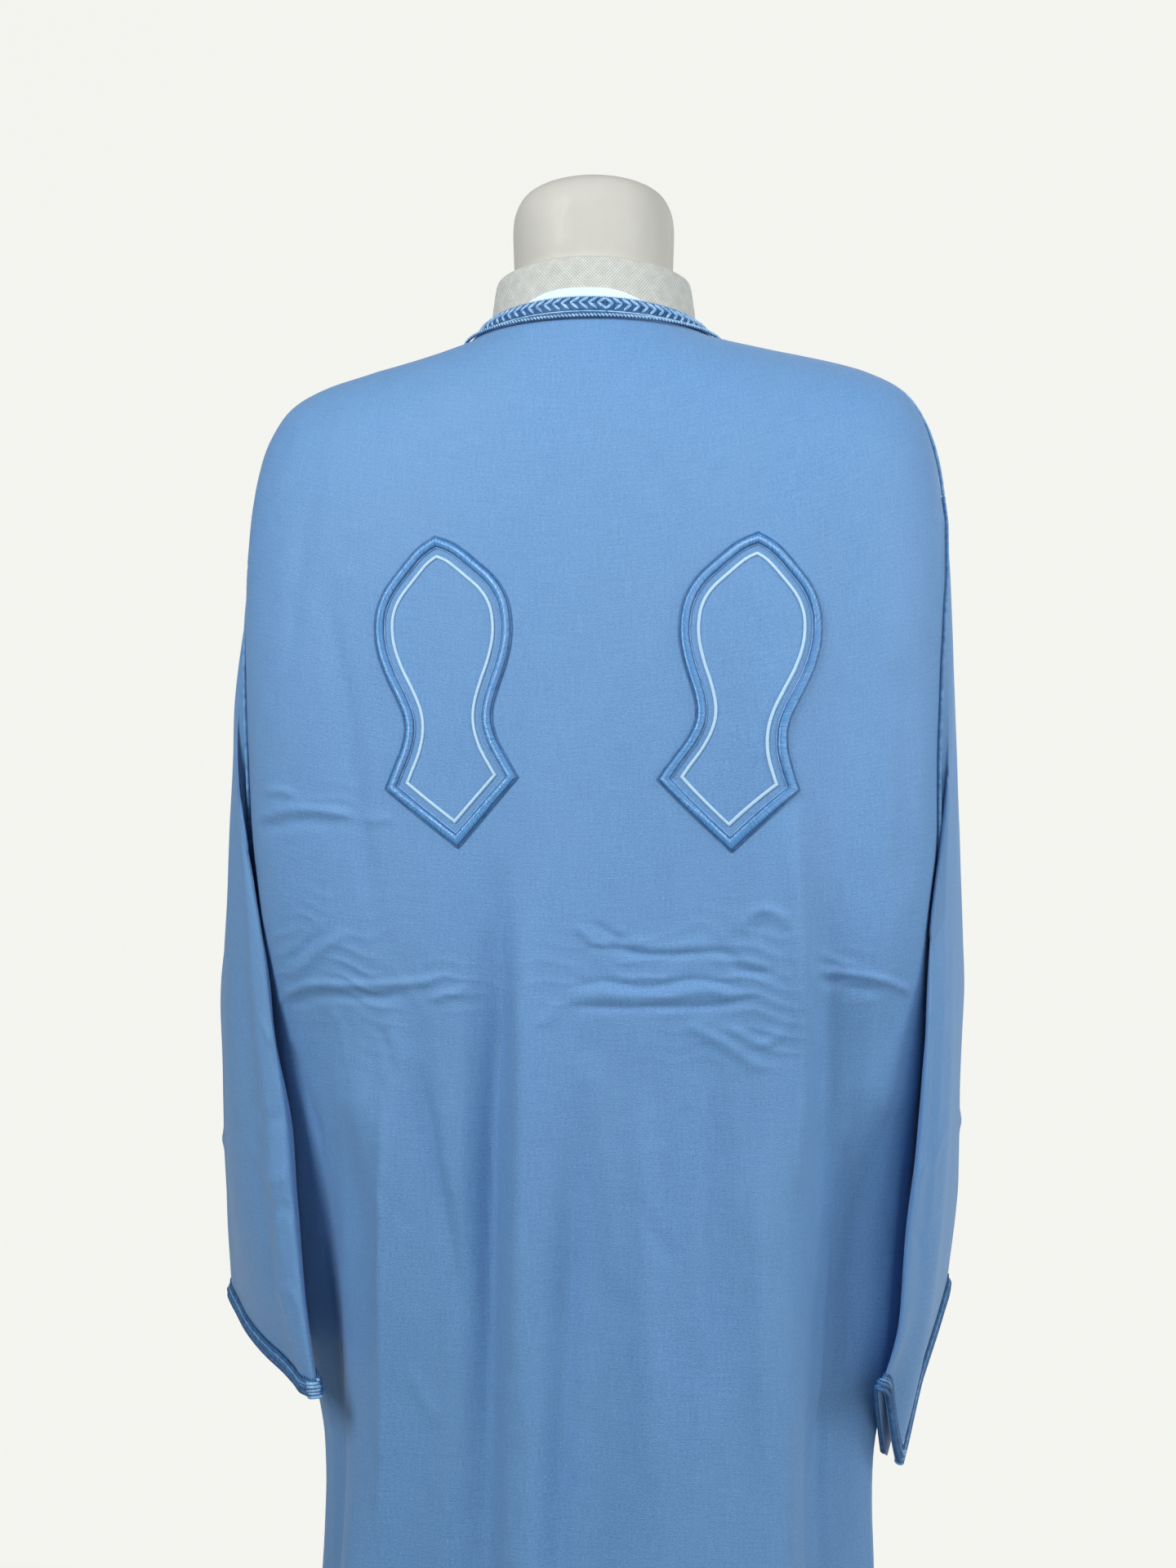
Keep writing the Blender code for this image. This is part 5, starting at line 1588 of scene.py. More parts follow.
@dataclass
class Sleeve(Piece):
    """One flat-hanging sleeve with the trim round its cuff."""

    form: GarmentForm
    side: Side
    columns: int = 112
    rows: int = 165
    wall: float = 0.0011
    seam_gap: float = 0.0004
    end_gap: float = 0.0010
    arm_radius: float = 0.058
    fold_rise: tuple[float, float] = (0.2, 0.6)
    edge_share: float = 0.8
    ripple_share: float = 0.8
    ripple_shift: float = 0.3
    ripple_rise: tuple[float, float] = (0.01, 0.06)
    band_rise: float = 0.0006
    band_width: float = 0.0120
    band_lift: tuple[float, float] = (0.0003, 0.0012)
    trim_rows: int = 4
    braid_rises: tuple[float, ...] = (0.0022, 0.0064)
    braid_lift: float = 0.0021
    braid_spread: float = 0.00085
    braid_pitch: float = 0.0052
    braid_radius: float = 0.00100
    line_sizes: Rows = ((0.0043, 0.00055), (0.0090, 0.00070))
    line_lift: float = 0.0019
    line_step: float = 0.002
    comb_stitch: CombStitch = CombStitch(0.0026, (0.0022, 0.00050, 0.00045), 0.35)
    flat: tuple[float, float] = (0.42, 0.52)
    flat_area: float = 0.175

    def section(self, number: int, turns: Array) -> Array:
        """One ring of the sleeve.

        Args:
            number: The ring's row in the table.
            turns: Turns from the outer face by the back edge.

        Returns:
            Its points.
        """
        table = SLEEVE_SECTIONS[self.side]
        share = number / (len(table) - 1)
        middle, out, back = np.array(table[number]).reshape(3, 3) / MM
        out_share, back_share = np.cos(turns), np.sin(turns)
        ring = middle + out_share[:, None] * out + back_share[:, None] * back
        away = unit(ring - middle - self.edge_share * back_share[:, None] * back)
        for at_top, at_cuff, width, depth in SLEEVE_FOLDS[self.side]:
            apart = wrapped(turns - math.radians(at_top + (at_cuff - at_top) * share))
            near = np.exp(-((apart / math.radians(width)) ** 2))
            ring = ring + (depth * eased(*self.fold_rise, share) * near)[:, None] * away
        start, over, drop, rise, shift = SLEEVE_TWISTS[self.side]
        grown = eased(start, 1.0, share)
        beyond = np.clip((back_share - over) / (1 - over), 0.0, 1.0)
        near = np.clip(1 - np.abs(back_share - over) / SLEEVE_TWIST_REACH, 0.0, 1.0)
        drawn = SLEEVE_PULLS[self.side][number] * np.clip(-back_share, 0.0, 1.0)
        ring[:, 0] += grown * shift * beyond - self.side.value * drawn
        ring[:, 2] += grown * (rise * beyond - drop * near)
        return ring

    def rings(self) -> tuple[Array, Array, Array]:
        """The sleeve's outer points, directions and measures, from the armhole to the cuff."""
        turns = tube_turns(self.columns)
        loop, _ = self.form.armhole(self.side, turns, -self.seam_gap, 0.0, self.end_gap)
        sections = [self.section(n, turns) for n in range(len(SLEEVE_SECTIONS[self.side]))]
        fine = curve(np.array([loop, *sections]), self.rows)
        normals = self.outward(fine)
        run = running(np.linalg.norm(np.diff(fine, axis=0), axis=2).mean(axis=1))
        across, down = np.meshgrid(wrapped(turns) * self.arm_radius, run)
        push = crease_push(SLEEVE_CREASES[self.side], across, down)
        uneven = self.ripple_share * ripple(across + self.ripple_shift, down)
        fine = fine + (push + uneven * eased(*self.ripple_rise, down))[..., None] * normals
        measures = np.stack(np.meshgrid(turns * self.arm_radius, run), axis=-1)
        return fine, self.outward(fine), measures

    @staticmethod
    def outward(rings: Array) -> Array:
        """Outward directions of a tube.

        Args:
            rings: Its rings of points.

        Returns:
            A direction for each point.
        """
        around = np.roll(rings, -1, axis=1) - np.roll(rings, 1, axis=1)
        normals = unit(np.cross(around, np.gradient(rings, axis=0)))
        outward = rings - rings.mean(axis=1, keepdims=True)
        flip = np.sign((normals * outward).sum(axis=(1, 2)))
        return normals * flip[:, None, None]

    def build(self) -> Made:
        """The sleeve, a sheet of cloth with a thin wall, and its trim."""
        fine, normals, measures = self.rings()
        end = measures[:, :1] + np.array([2 * math.pi * self.arm_radius, 0.0])
        made = Shaping.grid(
            "sleeve_cloth_" + self.side.word, np.concatenate([fine, fine[:, :1]], axis=1),
            np.concatenate([measures, end], axis=1), wrap_columns=True, wall=self.wall,
        )
        middles = fine.mean(axis=1)[::-1]

        def outwards(centre: Vector) -> Vector:
            """The direction from the sleeve's middle line to a face."""
            x, y = (np.interp(centre.z, middles[:, 2], middles[:, k]) for k in range(2))
            return Vector((centre.x - x, centre.y - y, 0.0))

        Shaping.turned_out(made, outwards)
        self.dress(made, self.finishes.crepe, Slot.CREPE, "sleeve_" + self.side.word)
        trims = self.build_trim(fine, normals)
        return made

    def build_trim(self, fine: Array, normals: Array) -> list[Made]:
        """The cuff's tape, braid rows, light cords, comb stitches and knot.

        Args:
            fine: The sleeve's rings of points.
            normals: Their outward directions.

        Returns:
            The pieces.
        """
        word = self.side.word
        edge, out = fine[-1], normals[-1]
        up = unit(fine[-self.trim_rows] - edge)

        def line(rise: float, lift: float) -> Array:
            """A loop round the cuff at this distance from its edge."""
            return edge + up * rise + out * lift

        low, high = self.band_lift
        start, width = self.band_rise, self.band_width
        stops = ((start, low), (start, high), (width, high), (width, low), (start, low))
        band = np.array([line(rise, lift) for rise, lift in stops])
        band = np.concatenate([band, band[:, :1]], axis=1)
        made = Shaping.grid("cuff_tape_" + word, band, np.zeros((*band.shape[:2], 2)), True, True)
        middle = Vector(edge.mean(axis=0))
        Shaping.turned_out(made, lambda centre: from_axis(centre - middle))
        pieces = [self.dress(made, self.finishes.braid, Slot.BRAID, "cuff_band_" + word)]
        for number, rise in enumerate(self.braid_rises):
            path = line(rise, self.braid_lift)
            lines = Thread.twisted(path, out, self.braid_spread, self.braid_pitch, True)
            pieces.append(self.strand(f"cuff_braid_{number + 1}_{word}", lines, self.braid_radius,
                                      True, self.finishes.braid, Slot.BRAID))
        for number, (rise, radius) in enumerate(self.line_sizes):
            path, _, _ = Thread.spaced(line(rise, self.line_lift), out, self.line_step, True)
            pieces.append(self.strand(f"cuff_line_{number + 1}_{word}", [path], radius, True,
                                      self.finishes.braid_light, Slot.CORD))
        path = line(width + start, start)
        pieces.append(self.comb("cuff_comb_" + word, path, out, up.mean(axis=0),
                                self.comb_stitch, self.finishes.braid))
        tip = int(np.argmin(edge[:, 2]))
        pieces.append(self.build_knot(edge[tip], up[tip], out[tip]))
        return pieces

    def build_knot(self, tip: Array, up: Array, out: Array) -> Made:
        """The wound knot of light cord at the lowest point of the cuff.

        Args:
            tip: The lowest point.
            up: The direction up the sleeve there.
            out: The outward direction there.

        Returns:
            The piece.
        """
        turns = np.linspace(0, 5 * 2 * math.pi, 130)
        across = unit(np.cross(up, out))
        middle = tip + up * 0.0065
        radius = 0.0042 + 0.0006 * np.cos(turns * 0.37)
        spiral = (
            middle
            + (radius * np.cos(turns))[:, None] * across
            + (radius * 0.62 * np.sin(turns))[:, None] * out
            + ((turns / turns[-1] - 0.5) * 0.0120)[:, None] * up
        )
        return self.strand("cuff_knot_" + self.side.word, [spiral], 0.00115, False,
                           self.finishes.cord, Slot.CORD)


@dataclass
class NeckTrim(Piece):
    """The woven neck band with its herringbone, its edge lines, the cord and the strip."""

    form: GarmentForm
    columns: int = 360
    band_lift: float = 0.0006
    band_wall: float = 0.0014
    band_rows: tuple[float, float] = (0.0, 0.97)
    join_angle: float = 0.246
    join_gap: float = 0.0009
    join_rows: tuple[float, float] = (0.02, 0.97)
    chevron_rows: Triple = (0.44, 0.15, 0.73)
    chevron_start: float = 0.0046
    chevron_lean: float = 0.0058
    chevron_step: float = 0.0033
    comb_stitch: CombStitch = CombStitch(
        0.0018, (0.0016, 0.00050, 0.00055), 0.45, inwards=0.0005, lift=0.0002
    )
    line_step: float = 0.0025
    cord_radius: float = 0.0019
    cord_step: float = 0.00265
    cord_stitch: Triple = (0.00185, 0.00078, 0.00125)
    # Radius of the dark core, painted as the shadow between the cord's turns
    core_radius: float = 0.00112
    strip_middle: float = 0.06
    strip_spread: float = 0.50
    strip_rise: tuple[float, float] = (0.0006, 0.0078)
    strip_depth: float = 0.0022
    strip_wall: float = 0.0008

    def line(self, row: float, lift: float, down: float = 0.0) -> tuple[Array, Array]:
        """A loop round the neck at a row, with its outward directions."""
        angles = wrapped(full_turn(4 * self.columns)[:-1] + self.join_angle)
        return self.form.at(row, angles, lift=lift, down=down), self.form.normal(row, angles)

    def build(self) -> None:
        """All the pieces of the neck."""
        self.build_band()
        self.build_herringbone()
        self.build_edges()
        self.build_cord()
        self.build_strip()

    def build_band(self) -> None:
        """The tape that carries the braid."""
        angles = full_turn(self.columns)
        rows = np.linspace(*self.band_rows, 10)
        points = np.array([self.form.at(row, angles, lift=self.band_lift) for row in rows])
        measures = np.stack(np.meshgrid(angles * 0.09, rows * 0.016), axis=-1)
        made = Shaping.grid("neck_tape", points, measures, wrap_columns=True, wall=self.band_wall)
        Shaping.turned_out(made, from_axis)
        self.dress(made, self.finishes.braid, Slot.BRAID, "neck_band")

    def build_herringbone(self) -> None:
        """Slanting padded stitches in two rows, pointing away from the join on both sides."""
        (path, guide), (upper, _), (lower, _) = (
            self.line(row, self.band_lift) for row in self.chevron_rows
        )
        run = running(np.linalg.norm(np.roll(path, -1, axis=0) - path, axis=1))
        join = run[len(path) // 2]
        count = int(run[-1] / 2 / self.chevron_step) - 1

        def read(values: Array, at: float) -> Array:
            """Values on the closed line at a length along it."""
            return read_line(np.concatenate([values, values[:1]]), run, at % run[-1])

        for name, first, size, rise, finish in (
            ("light", 0, (0.0045, 0.00125, 0.00125), 0.0007, self.finishes.leaf),
            ("dark", 1, (0.0041, 0.00070, 0.00060), 0.0002, self.finishes.braid),
        ):
            middles, directions, ups = [], [], []
            for way in (-1, 1):
                for k in range(first, count, 2):
                    at = join + way * (self.join_gap + self.chevron_start + k * self.chevron_step)
                    up, start = read(guide, at), read(path, at)
                    for edge in (upper, lower):
                        end = read(edge, at - way * self.chevron_lean)
                        middles.append((start + end) / 2 + rise * up)
                        directions.append(end - start)
                        ups.append(up)
            made = Shaping.beads("neck_herringbone_" + name, np.array(middles),
                                 np.array(directions), np.array(ups), size, (8, 6))
            self.dress(made, finish, Slot.BRAID)

    def build_edges(self) -> None:
        """The comb stitches on the upper edge, the lines beside the herringbone and the join."""
        path, guide = self.line(0.0, self.band_lift + 0.0001)
        down = np.array((0.0, 0.0, -1.0))
        light = self.finishes.braid_light
        self.comb("neck_comb", path, guide, down, self.comb_stitch, light)
        for number, (row, radius, finish) in enumerate((
            (0.10, 0.00055, self.finishes.braid),
            (0.765, 0.00045, self.finishes.braid),
            (0.840, 0.00062, self.finishes.cord_light),
            (0.925, 0.00050, self.finishes.braid),
        )):
            path, guide = self.line(row, self.band_lift + 0.0003)
            spots, _, _ = Thread.spaced(path, guide, self.line_step, True)
            self.strand(f"neck_line_{number + 1}", [spots], radius, True, finish, Slot.BRAID)
        rows = np.linspace(*self.join_rows, 12)
        path = self.form.at(rows, np.array(self.join_angle), lift=self.band_lift + 0.0008)
        self.strand("neck_join", [path], 0.00062, False, self.finishes.braid, Slot.BRAID)

    def build_cord(self) -> None:
        """The cord under the band: light slanting turns of thread on a dark core, which shows between
        the turns as painted shadow.
        """
        path, guide = self.line(NECK_ROW, self.cord_radius + 0.0008, self.cord_radius + GAP)
        spots, ups, _ = Thread.spaced(path, guide, self.cord_step, True)
        ahead = Thread.tangents(spots, True)
        across = unit(np.cross(ahead, ups))
        made = Shaping.beads("neck_twisted_cord", spots + 0.0003 * ups, ahead + 0.85 * across, ups,
                             self.cord_stitch, (8, 6))
        self.dress(made, self.finishes.cord_light, Slot.CORD, "neck_cord")
        # Painted shadow: the dark core fills the gaps between the light turns
        core, _, _ = Thread.spaced(path, guide, 0.003, True)
        made = Shaping.strands("neck_cord_core", [core], self.core_radius, True, 2)
        self.dress(made, self.finishes.braid, Slot.CORD)

    def build_strip(self) -> None:
        """The pale strip that stands a little above the band, inside it."""
        angles = full_turn(self.columns)
        middle = np.exp(-(((angles - self.strip_middle) / self.strip_spread) ** 4))
        rise = self.strip_rise[0] + self.strip_rise[1] * middle
        lift = self.band_lift - self.strip_depth - GAP
        low = self.form.at(0.5, angles, lift=lift)
        high = self.form.at(BAND_ROW, angles, lift=lift)
        rows = [low + (high - low) * share for share in (0.0, 0.5)]
        rows += [high + np.stack([0 * rise, 0 * rise, rise * share], axis=-1)
                 for share in (0.0, 0.35, 0.7, 0.92, 1.0)]
        measures = np.zeros((len(rows), len(angles), 2))
        made = Shaping.grid("neck_inner_strip", np.array(rows), measures, wrap_columns=True,
                            wall=self.strip_wall)
        Shaping.turned_out(made, from_axis)
        self.dress(made, self.finishes.strip, Slot.STRIP, "neck_strip")


@dataclass
class SeamCords(Piece):
    """The twisted cords over the shoulder seam and round the armhole of one side."""

    form: GarmentForm
    side: Side
    spread: float = 0.00085
    radius: float = 0.00066
    pitch: float = 0.0052
    lift: float = 0.0017
    clear: float = 0.0044
    start_row: float = NECK_ROW + 0.45
    end_clear: float = 0.0057

    def cord(self, name: str, loop: tuple[Array, Array], closed: bool,
             material: Material) -> None:
        """A twisted cord on a straight core.

        Args:
            name: The seam's name.
            loop: The cord's path and its outward directions.
            closed: Whether it joins up.
            material: Its material.
        """
        path, guide = loop
        lines = [*Thread.twisted(path, guide, self.spread, self.pitch, closed), path]
        word = self.side.word
        self.strand(f"{name}_twist_{word}", lines, self.radius, closed, material, Slot.CORD,
                    f"{name}_cord_{word}")

    def build(self) -> None:
        """Both cords."""
        top, form = ARMHOLE_TOP_ROW[self.side], self.form
        row_height = float(form.z_side[top - 1] - form.z_side[top])
        rows = np.linspace(self.start_row, top - self.end_clear / row_height, 240)
        angle = np.array([form.angle_at(row, self.side.value * form.side_at(row)) for row in rows])
        seam = form.at(rows, angle, lift=self.lift), form.normal(rows, angle)
        self.cord("shoulder", seam, False, self.finishes.cord)
        seam = form.armhole(self.side, tube_turns(360), self.clear, self.lift, -self.clear)
        self.cord("armhole", seam, True, self.finishes.braid_light)


@dataclass
class SandalFigure(Piece):
    """One sandal sole in satin stitch on the back, with the pale line inside its border."""

    form: GarmentForm
    side: Side
    across: float
    height: float
    turn: float
    heel_shift: float
    length: float = 0.212
    border: float = 0.0068
    border_rise: float = 0.0029
    line_width: float = 0.0024
    line_inset: float = 0.0097
    line_rise: float = 0.0009
    lift: float = 0.0003
    # The dark thread outside the border, painted as the shadow along its outer edge: its distance
    # outside the border and its radius
    rim: tuple[float, float] = (0.0003, 0.00085)
    edge: tuple[float, float] = (0.0002, 0.00042)
    thread_lift: float = 0.0006
    heel_share: float = 0.82
    heel_spread: float = 0.20
    overrun: float = 0.020
    outline_points: int = 157
    flank_points: int = 120
    heel_points: int = 29
    padding: float = 0.8
    underside: Rows = ((0.5, -0.12), (-0.5, -0.12))

    def outline(self, inset: float) -> Array:
        """The closed flat outline, moved inwards with its corners kept sharp.

        Args:
            inset: How far inwards.

        Returns:
            Its points, from the toe by the right flank.
        """
        share, half = curve(np.array(SOLE_OUTLINE), self.outline_points).T
        flank = np.stack([half, (0.5 - share) * self.length], axis=1)
        heel = np.array([flank[-1], (0.0, -0.5 * self.length)])
        moved = []
        for line in (flank, heel):
            step = unit(np.gradient(line, axis=0))
            inward = np.stack([step[:, 1], -step[:, 0]], axis=1)
            over = self.overrun * step
            line = line + inset * inward
            moved.append(np.concatenate([[line[0] - over[0]], line, [line[-1] + over[-1]]]))
        flank, heel = moved
        within = (flank - heel[1]) @ inward[0]
        flank = self.above_zero(flank, np.minimum(flank[:, 0], within))
        tip = self.above_zero(heel, heel[:, 0])[-1]
        heel = self.evenly(np.array([flank[-1], tip]), self.heel_points)
        right = np.concatenate([self.evenly(flank, self.flank_points), heel[1:]])
        return np.concatenate([right, right[1:-1][::-1] * np.array((-1.0, 1.0))])

    @staticmethod
    def above_zero(line: Array, values: Array) -> Array:
        """The stretch of a line where some values are above zero, cut where they cross it.

        Args:
            line: Points of the line.
            values: A value for each point.

        Returns:
            The points of the stretch.
        """
        inside = np.flatnonzero(values > 0)
        ends = []
        for kept, left in ((inside[0], inside[0] - 1), (inside[-1], inside[-1] + 1)):
            share = values[left] / (values[left] - values[kept])
            ends.append(line[left] + (line[kept] - line[left]) * share)
        return np.concatenate([[ends[0]], line[inside[0] : inside[-1] + 1], [ends[1]]])

    @staticmethod
    def evenly(line: Array, count: int) -> Array:
        """Evenly spaced points along a flat line, with its ends."""
        run = running(np.linalg.norm(np.diff(line, axis=0), axis=1))
        return read_line(line, run, np.linspace(0, run[-1], count))

    def spots(self, inset: float) -> Array:
        """The outline on the cloth.

        Args:
            inset: How far it is moved inwards.

        Returns:
            A row and an angle for each point.
        """
        flat = self.outline(inset)
        to_heel = 0.5 - flat[:, 1] / self.length - self.heel_share
        flat[:, 0] += self.heel_shift * np.exp(-((to_heel / self.heel_spread) ** 2))
        turn = math.radians(self.turn)
        across = self.across + flat[:, 0] * math.cos(turn) - flat[:, 1] * math.sin(turn)
        height = self.height + flat[:, 0] * math.sin(turn) + flat[:, 1] * math.cos(turn)
        return np.stack(self.form.place(across, height), axis=1)

    def band(self, name: str, inset: float, width: float, rise: float) -> Made:
        """A padded band along the outline, closed underneath.

        Args:
            name: The object's name.
            inset: Where its middle runs, inwards from the outline.
            width: Its width.
            rise: The height of its padding.

        Returns:
            The object.
        """
        outer, inner = self.spots(inset - width / 2), self.spots(inset + width / 2)
        steps = np.linalg.norm(np.diff(self.form.at(*outer.T), axis=0), axis=1)
        run = running(np.append(steps, steps[-1]))
        shape = [
            (t, math.sqrt(1 - t * t) ** self.padding)
            for t in np.sin(np.linspace(-1, 1, 11) * math.pi / 2)
        ]
        rows, measures = [], []
        for t, high in (*shape, *self.underside, shape[0]):
            spot = outer + (inner - outer) * (t + 1) / 2
            line = self.form.at(*spot.T, lift=self.lift + rise * high)
            rows.append(np.concatenate([line, line[:1]]))
            measures.append(np.stack([run, np.full_like(run, t * width / 2)], axis=1))
        made = Shaping.grid(name, np.array(rows), np.array(measures), True, True)
        return Shaping.turned_out(made, lambda centre: Vector((0.0, -1.0, 0.0)))

    def thread(self, name: str, inset: float, radius: float, material: Material) -> Made:
        """One thread along the outline, moved inwards by the inset."""
        path = self.form.at(*self.spots(inset).T, lift=self.thread_lift)
        return self.strand(name, [path], radius, True, material, Slot.SATIN)

    def build(self) -> list[Made]:
        """The border, a dark thread just outside it painted as its shadow, the thread along its inner
        edge and the pale line.
        """
        word, finishes = self.side.word, self.finishes
        border = self.band("sandal_stitch_" + word, 0.0, self.border, self.border_rise)
        self.dress(border, finishes.satin, Slot.SATIN, "sandal_border_" + word)
        # Painted shadow: a thin dark thread along the border's outer edge
        apart, radius = self.rim
        rim = self.thread("sandal_rim_" + word, -self.border / 2 - apart, radius, finishes.braid)
        apart, radius = self.edge
        edge = self.thread("sandal_edge_" + word, self.border / 2 + apart, radius, finishes.cord)
        line = self.band("sandal_pale_" + word, self.line_inset, self.line_width, self.line_rise)
        self.dress(line, finishes.pale, Slot.PALE, "sandal_line_" + word)
        return [border, rim, edge, line]


@dataclass
class DressForm(Piece):
    """The limbless form under the garment, with its net collar and domed neck."""

    columns: int = 128
    rows_each: int = 5
    measure_scale: tuple[float, float] = (0.12, 0.04)
    collar_rows: tuple[float, float] = (16.6, 19.35)
    collar_steps: int = 26
    collar_lift: float = 0.0007
    collar_wall: float = 0.0005
    collar_radius: float = 0.076

    def rings(self, rows: Array) -> Array:
        """Points of the form at some rows, all round."""
        row_grid, angle_grid = np.meshgrid(rows, full_turn(self.columns), indexing="ij")
        points = ring_points(ring_columns(FORM_RINGS), row_grid, angle_grid)
        points[:, -1] = points[:, 0]
        return points

    def build(self) -> None:
        """The body and the collar."""
        last = len(FORM_RINGS) - 1
        rows = np.linspace(0, last, last * self.rows_each + 1)
        round_scale, row_scale = self.measure_scale
        grid = np.meshgrid(full_turn(self.columns) * round_scale, rows * row_scale)
        made = Shaping.grid("form_body", self.rings(rows), np.stack(grid, axis=-1), True)
        work = bmesh.new()
        work.from_mesh(made.data)
        rim = [edge for edge in work.edges if edge.is_boundary]
        bmesh.ops.holes_fill(work, edges=rim, sides=0)
        bmesh.ops.recalc_face_normals(work, faces=work.faces)
        work.to_mesh(made.data)
        work.free()
        Shaping.turned_out(made, from_axis)
        self.dress(made, self.finishes.form, Slot.FORM, "dress_form")
        self.build_collar()

    def build_collar(self) -> None:
        """The net band round the form's collar."""
        points = self.rings(np.linspace(*self.collar_rows, self.collar_steps))
        points = points + unit(points * np.array((1.0, 1.0, 0.0))) * self.collar_lift
        run = running(np.linalg.norm(np.diff(points, axis=0), axis=2).mean(axis=1))
        grid = np.meshgrid(full_turn(self.columns) * self.collar_radius, run)
        made = Shaping.grid("form_collar", points, np.stack(grid, axis=-1), wrap_columns=True,
                            wall=self.collar_wall)
        Shaping.turned_out(made, from_axis)
        self.dress(made, self.finishes.net, Slot.FORM)


@dataclass
class Stand(Piece):
    """The round base plate with its hub, and the pole up to the form."""

    base_radius: float = 0.185
    edge: float = 0.008
    rise: float = 0.014
    hub_radius: float = 0.026
    hub_top: float = 0.050
    pole_radius: float = 0.0125
    steps: int = 96

    def lathe(self, name: str, profile: Sequence[tuple[float, float]]) -> Made:
        """A solid turned about the upright axis, with eased edges.

        Args:
            name: The object's name.
            profile: Radii and heights, from the axis at the bottom to the axis at the top.

        Returns:
            The object.
        """
        work = bmesh.new()
        corners = [bmesh.ops.create_vert(work, co=(r, 0.0, z))["vert"][0] for r, z in profile]
        for low, high in zip(corners, corners[1:]):
            work.edges.new((low, high))
        bmesh.ops.spin(
            work, geom=list(work.verts) + list(work.edges), cent=(0, 0, 0), axis=(0, 0, 1),
            angle=2 * math.pi, steps=self.steps, use_merge=True,
        )
        bmesh.ops.remove_doubles(work, verts=work.verts, dist=MERGE_DISTANCE)
        bmesh.ops.recalc_face_normals(work, faces=work.faces)
        return Shaping.finished(name, work)

    def build(self) -> None:
        """The base and the pole."""
        r, h = self.base_radius, self.hub_radius
        base = self.lathe("base_plate", (
            (0.0, 0.0), (r - 0.0015, 0.0), (r, 0.0012), (r, self.edge - 0.0016),
            (r - 0.0008, self.edge - 0.0004), (r - 0.0025, self.edge),
            (h * 1.6 + 0.003, self.rise - 0.0002), (h * 1.6, self.rise),
            (h * 1.25, self.rise + 0.0015), (h, self.rise + 0.008), (h * 0.93, self.rise + 0.016),
            (h * 0.82, self.hub_top - 0.0020), (h * 0.79, self.hub_top - 0.0006),
            (h * 0.74, self.hub_top), (0.0, self.hub_top),
        ))
        self.dress(base, self.finishes.steel, Slot.STEEL, "stand_base")
        p, low, high = self.pole_radius, self.hub_top + GAP, FORM_RINGS[0][3] / MM - GAP
        pole = self.lathe("upright_pole", (
            (0.0, low), (p - 0.0006, low), (p, low + 0.0006), (p, low + 0.012),
            (p - 0.0010, low + 0.013), (p - 0.0010, high - 0.001), (p - 0.0018, high), (0.0, high),
        ))
        self.dress(pole, self.finishes.steel, Slot.STEEL, "stand_pole")


@dataclass(frozen=True)
class SoftLight:
    """A square light, placed from the middle of the floor as the camera sees it."""

    name: str
    right: float
    up: float
    ahead: float
    size: float
    power: float
    spread: float


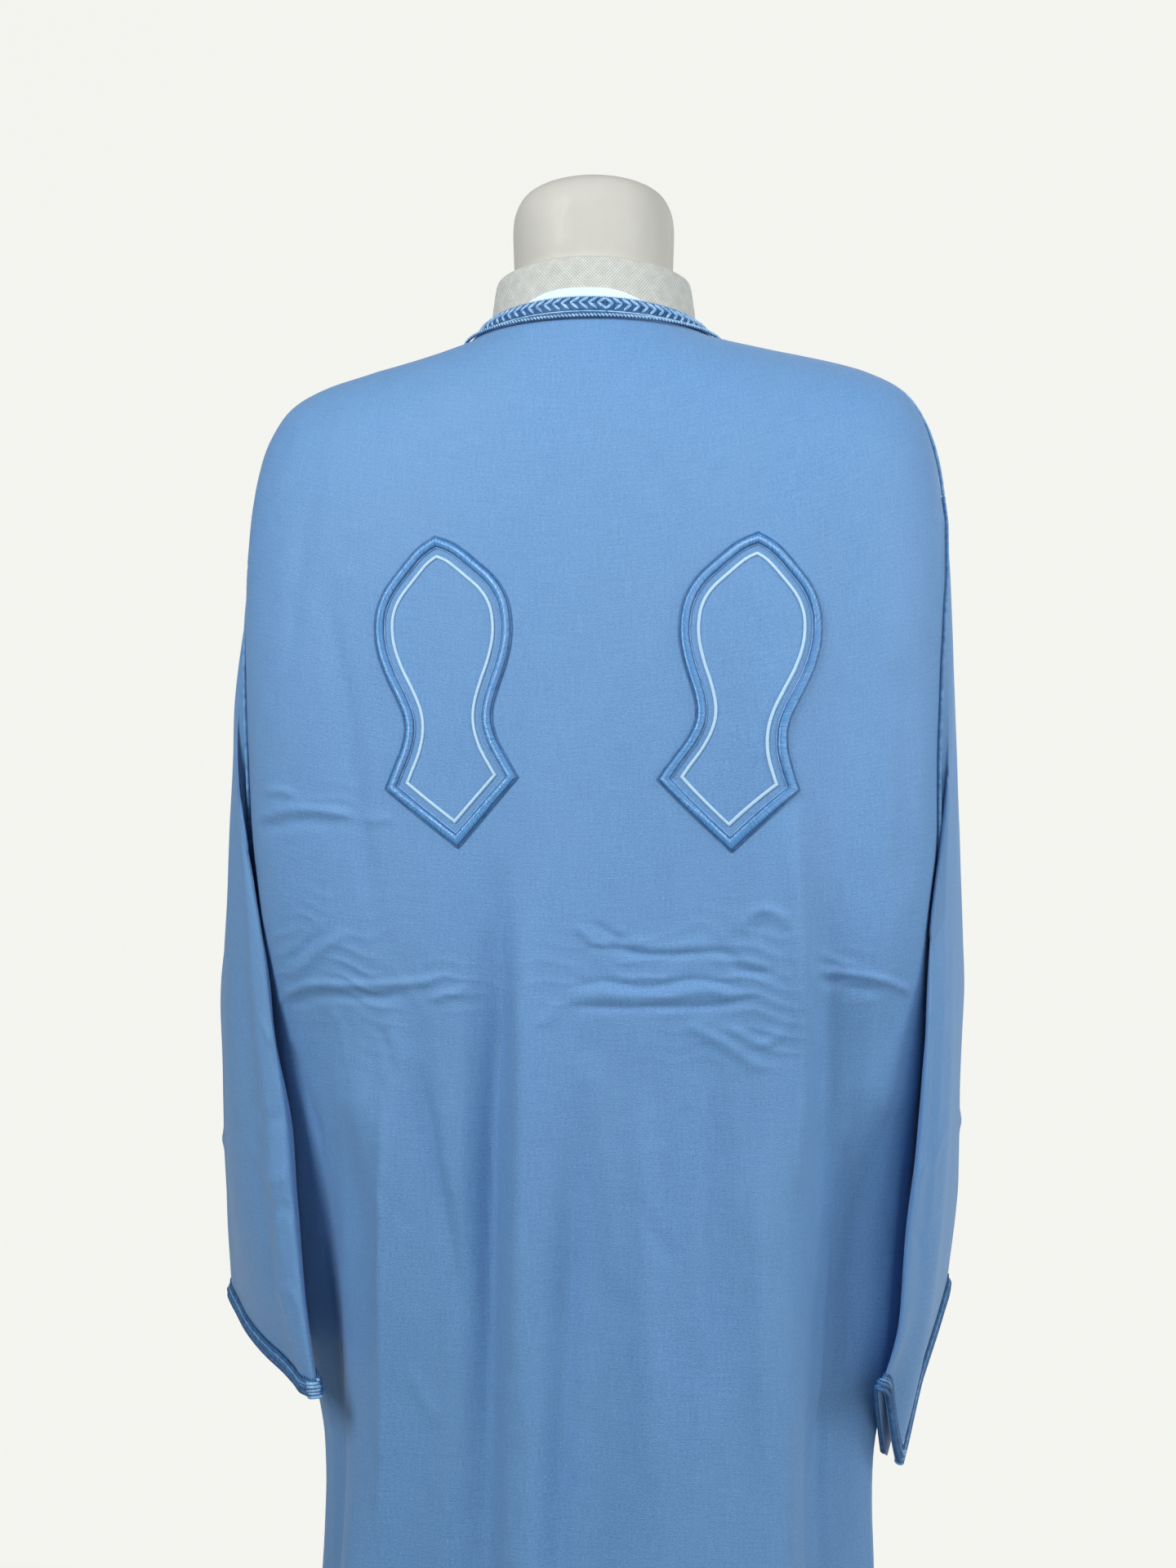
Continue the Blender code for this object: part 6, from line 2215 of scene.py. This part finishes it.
@dataclass
class Studio:
    """The pale sweep, the soft lights and the camera at the photograph's viewpoint."""

    finishes: Finishes
    azimuth: float = 9.0
    height: float = 1.178
    distance: float = 1.35
    lens: float = 40.1
    sensor: float = 36.0
    centre_pixel: float = 727.0
    image: tuple[int, int] = (1440, 1920)
    lights: tuple[SoftLight, ...] = (
        SoftLight("key", -1.35, 2.35, -1.50, 0.9, 17.0, 108.0),
        SoftLight("fill", 0.95, 1.85, -1.75, 1.4, 9.5, 120.0),
        SoftLight("right", 2.00, 1.70, -0.75, 1.0, 21.0, 180.0),
    )
    light_colour: Colour = (1.0, 0.985, 0.96)
    light_aim: float = 1.35
    room_colour: Colour = (0.92, 0.96, 1.0)
    room_strength: float = 0.17
    wall_at: float = 2.9
    wall_height: float = 3.6
    half_width: float = 2.6
    bend: float = 0.9
    floor_stops: Triple = (-3.4, -1.7, 0.0)
    floor_drop: float = 0.0005

    @property
    def forward(self) -> Vector:
        """The direction in which the camera looks."""
        turn = math.radians(self.azimuth)
        return Vector((-math.sin(turn), math.cos(turn), 0.0))

    def build(self) -> None:
        """The sweep, the lights and the camera."""
        self.build_sweep()
        self.build_lights()
        self.build_camera()

    def build_sweep(self) -> None:
        """A floor that curves up into a wall behind the object."""
        profile = [(stop, 0.0) for stop in self.floor_stops]
        profile += [
            (self.wall_at - self.bend * (1 - math.sin(t)), self.bend * (1 - math.cos(t)))
            for t in np.linspace(0, math.pi / 2, 18)
        ]
        profile.append((self.wall_at, self.wall_height))
        across = np.linspace(-self.half_width, self.half_width, 9)
        points = np.array([[(x, y, z - self.floor_drop) for x in across] for y, z in profile])
        made = Shaping.grid("pale_sweep", points, np.zeros((*points.shape[:2], 2)))
        Shaping.turned_out(made, lambda centre: Vector((0.0, -1.0, 1.0)))
        made.data.materials.append(self.finishes.backdrop)

    def build_lights(self) -> None:
        """A soft key from the camera's left, a fill, one from the right, and even room light."""
        right = self.forward.cross(Vector((0, 0, 1)))
        for soft in self.lights:
            light = bpy.data.lights.new(soft.name, "AREA")
            light.shape, light.size, light.energy = "SQUARE", soft.size, soft.power
            light.spread = math.radians(soft.spread)
            light.color = self.light_colour
            place = right * soft.right + self.forward * soft.ahead + Vector((0, 0, soft.up))
            made = linked(soft.name, light)
            made.location = place
            aim = Vector((0, 0, self.light_aim)) - place
            made.rotation_euler = aim.to_track_quat("-Z", "Y").to_euler()
        world = bpy.data.worlds.new("room")
        world.use_nodes = True
        background = world.node_tree.nodes["Background"]
        background.inputs["Color"].default_value = (*self.room_colour, 1.0)
        background.inputs["Strength"].default_value = self.room_strength
        bpy.context.scene.world = world

    def build_camera(self) -> None:
        """The camera, level and square to the view."""
        data = bpy.data.cameras.new("photo_view")
        data.lens, data.sensor_width, data.sensor_fit = self.lens, self.sensor, "AUTO"
        data.shift_x = (self.image[0] / 2 - self.centre_pixel) / self.image[1]
        made = linked("photo_view", data)
        made.location = -self.forward * self.distance + Vector((0, 0, self.height))
        made.rotation_euler = (math.pi / 2, 0.0, math.radians(self.azimuth))
        bpy.context.scene.camera = made


def main() -> None:
    """Builds the sub-assemblies in order."""
    logging.basicConfig(level=logging.INFO, format="%(name)s: %(message)s")
    bpy.context.scene.view_settings.view_transform = "Standard"
    finishes = Finishes()
    Studio(finishes).build()
    form = GarmentForm()
    back = Panel(finishes, form, at_back=True)
    front = Panel(finishes, form, at_back=False, columns_each=72)
    back_cloth, front_cloth = back.build(), front.build()
    figures = [
        *SandalFigure(finishes, form, Side.LEFT, -0.0850, 1.2440, 5.0, -0.002).build(),
        *SandalFigure(finishes, form, Side.RIGHT, 0.1290, 1.2420, -4.5, -0.009).build(),
    ]
    for side in Side:
        Sleeve(finishes, form, side).build()
        SeamCords(finishes, form, side).build()
    NeckTrim(finishes, form).build()
    DressForm(finishes).build()
    Stand(finishes).build()


if __name__ == "__main__":
    main()
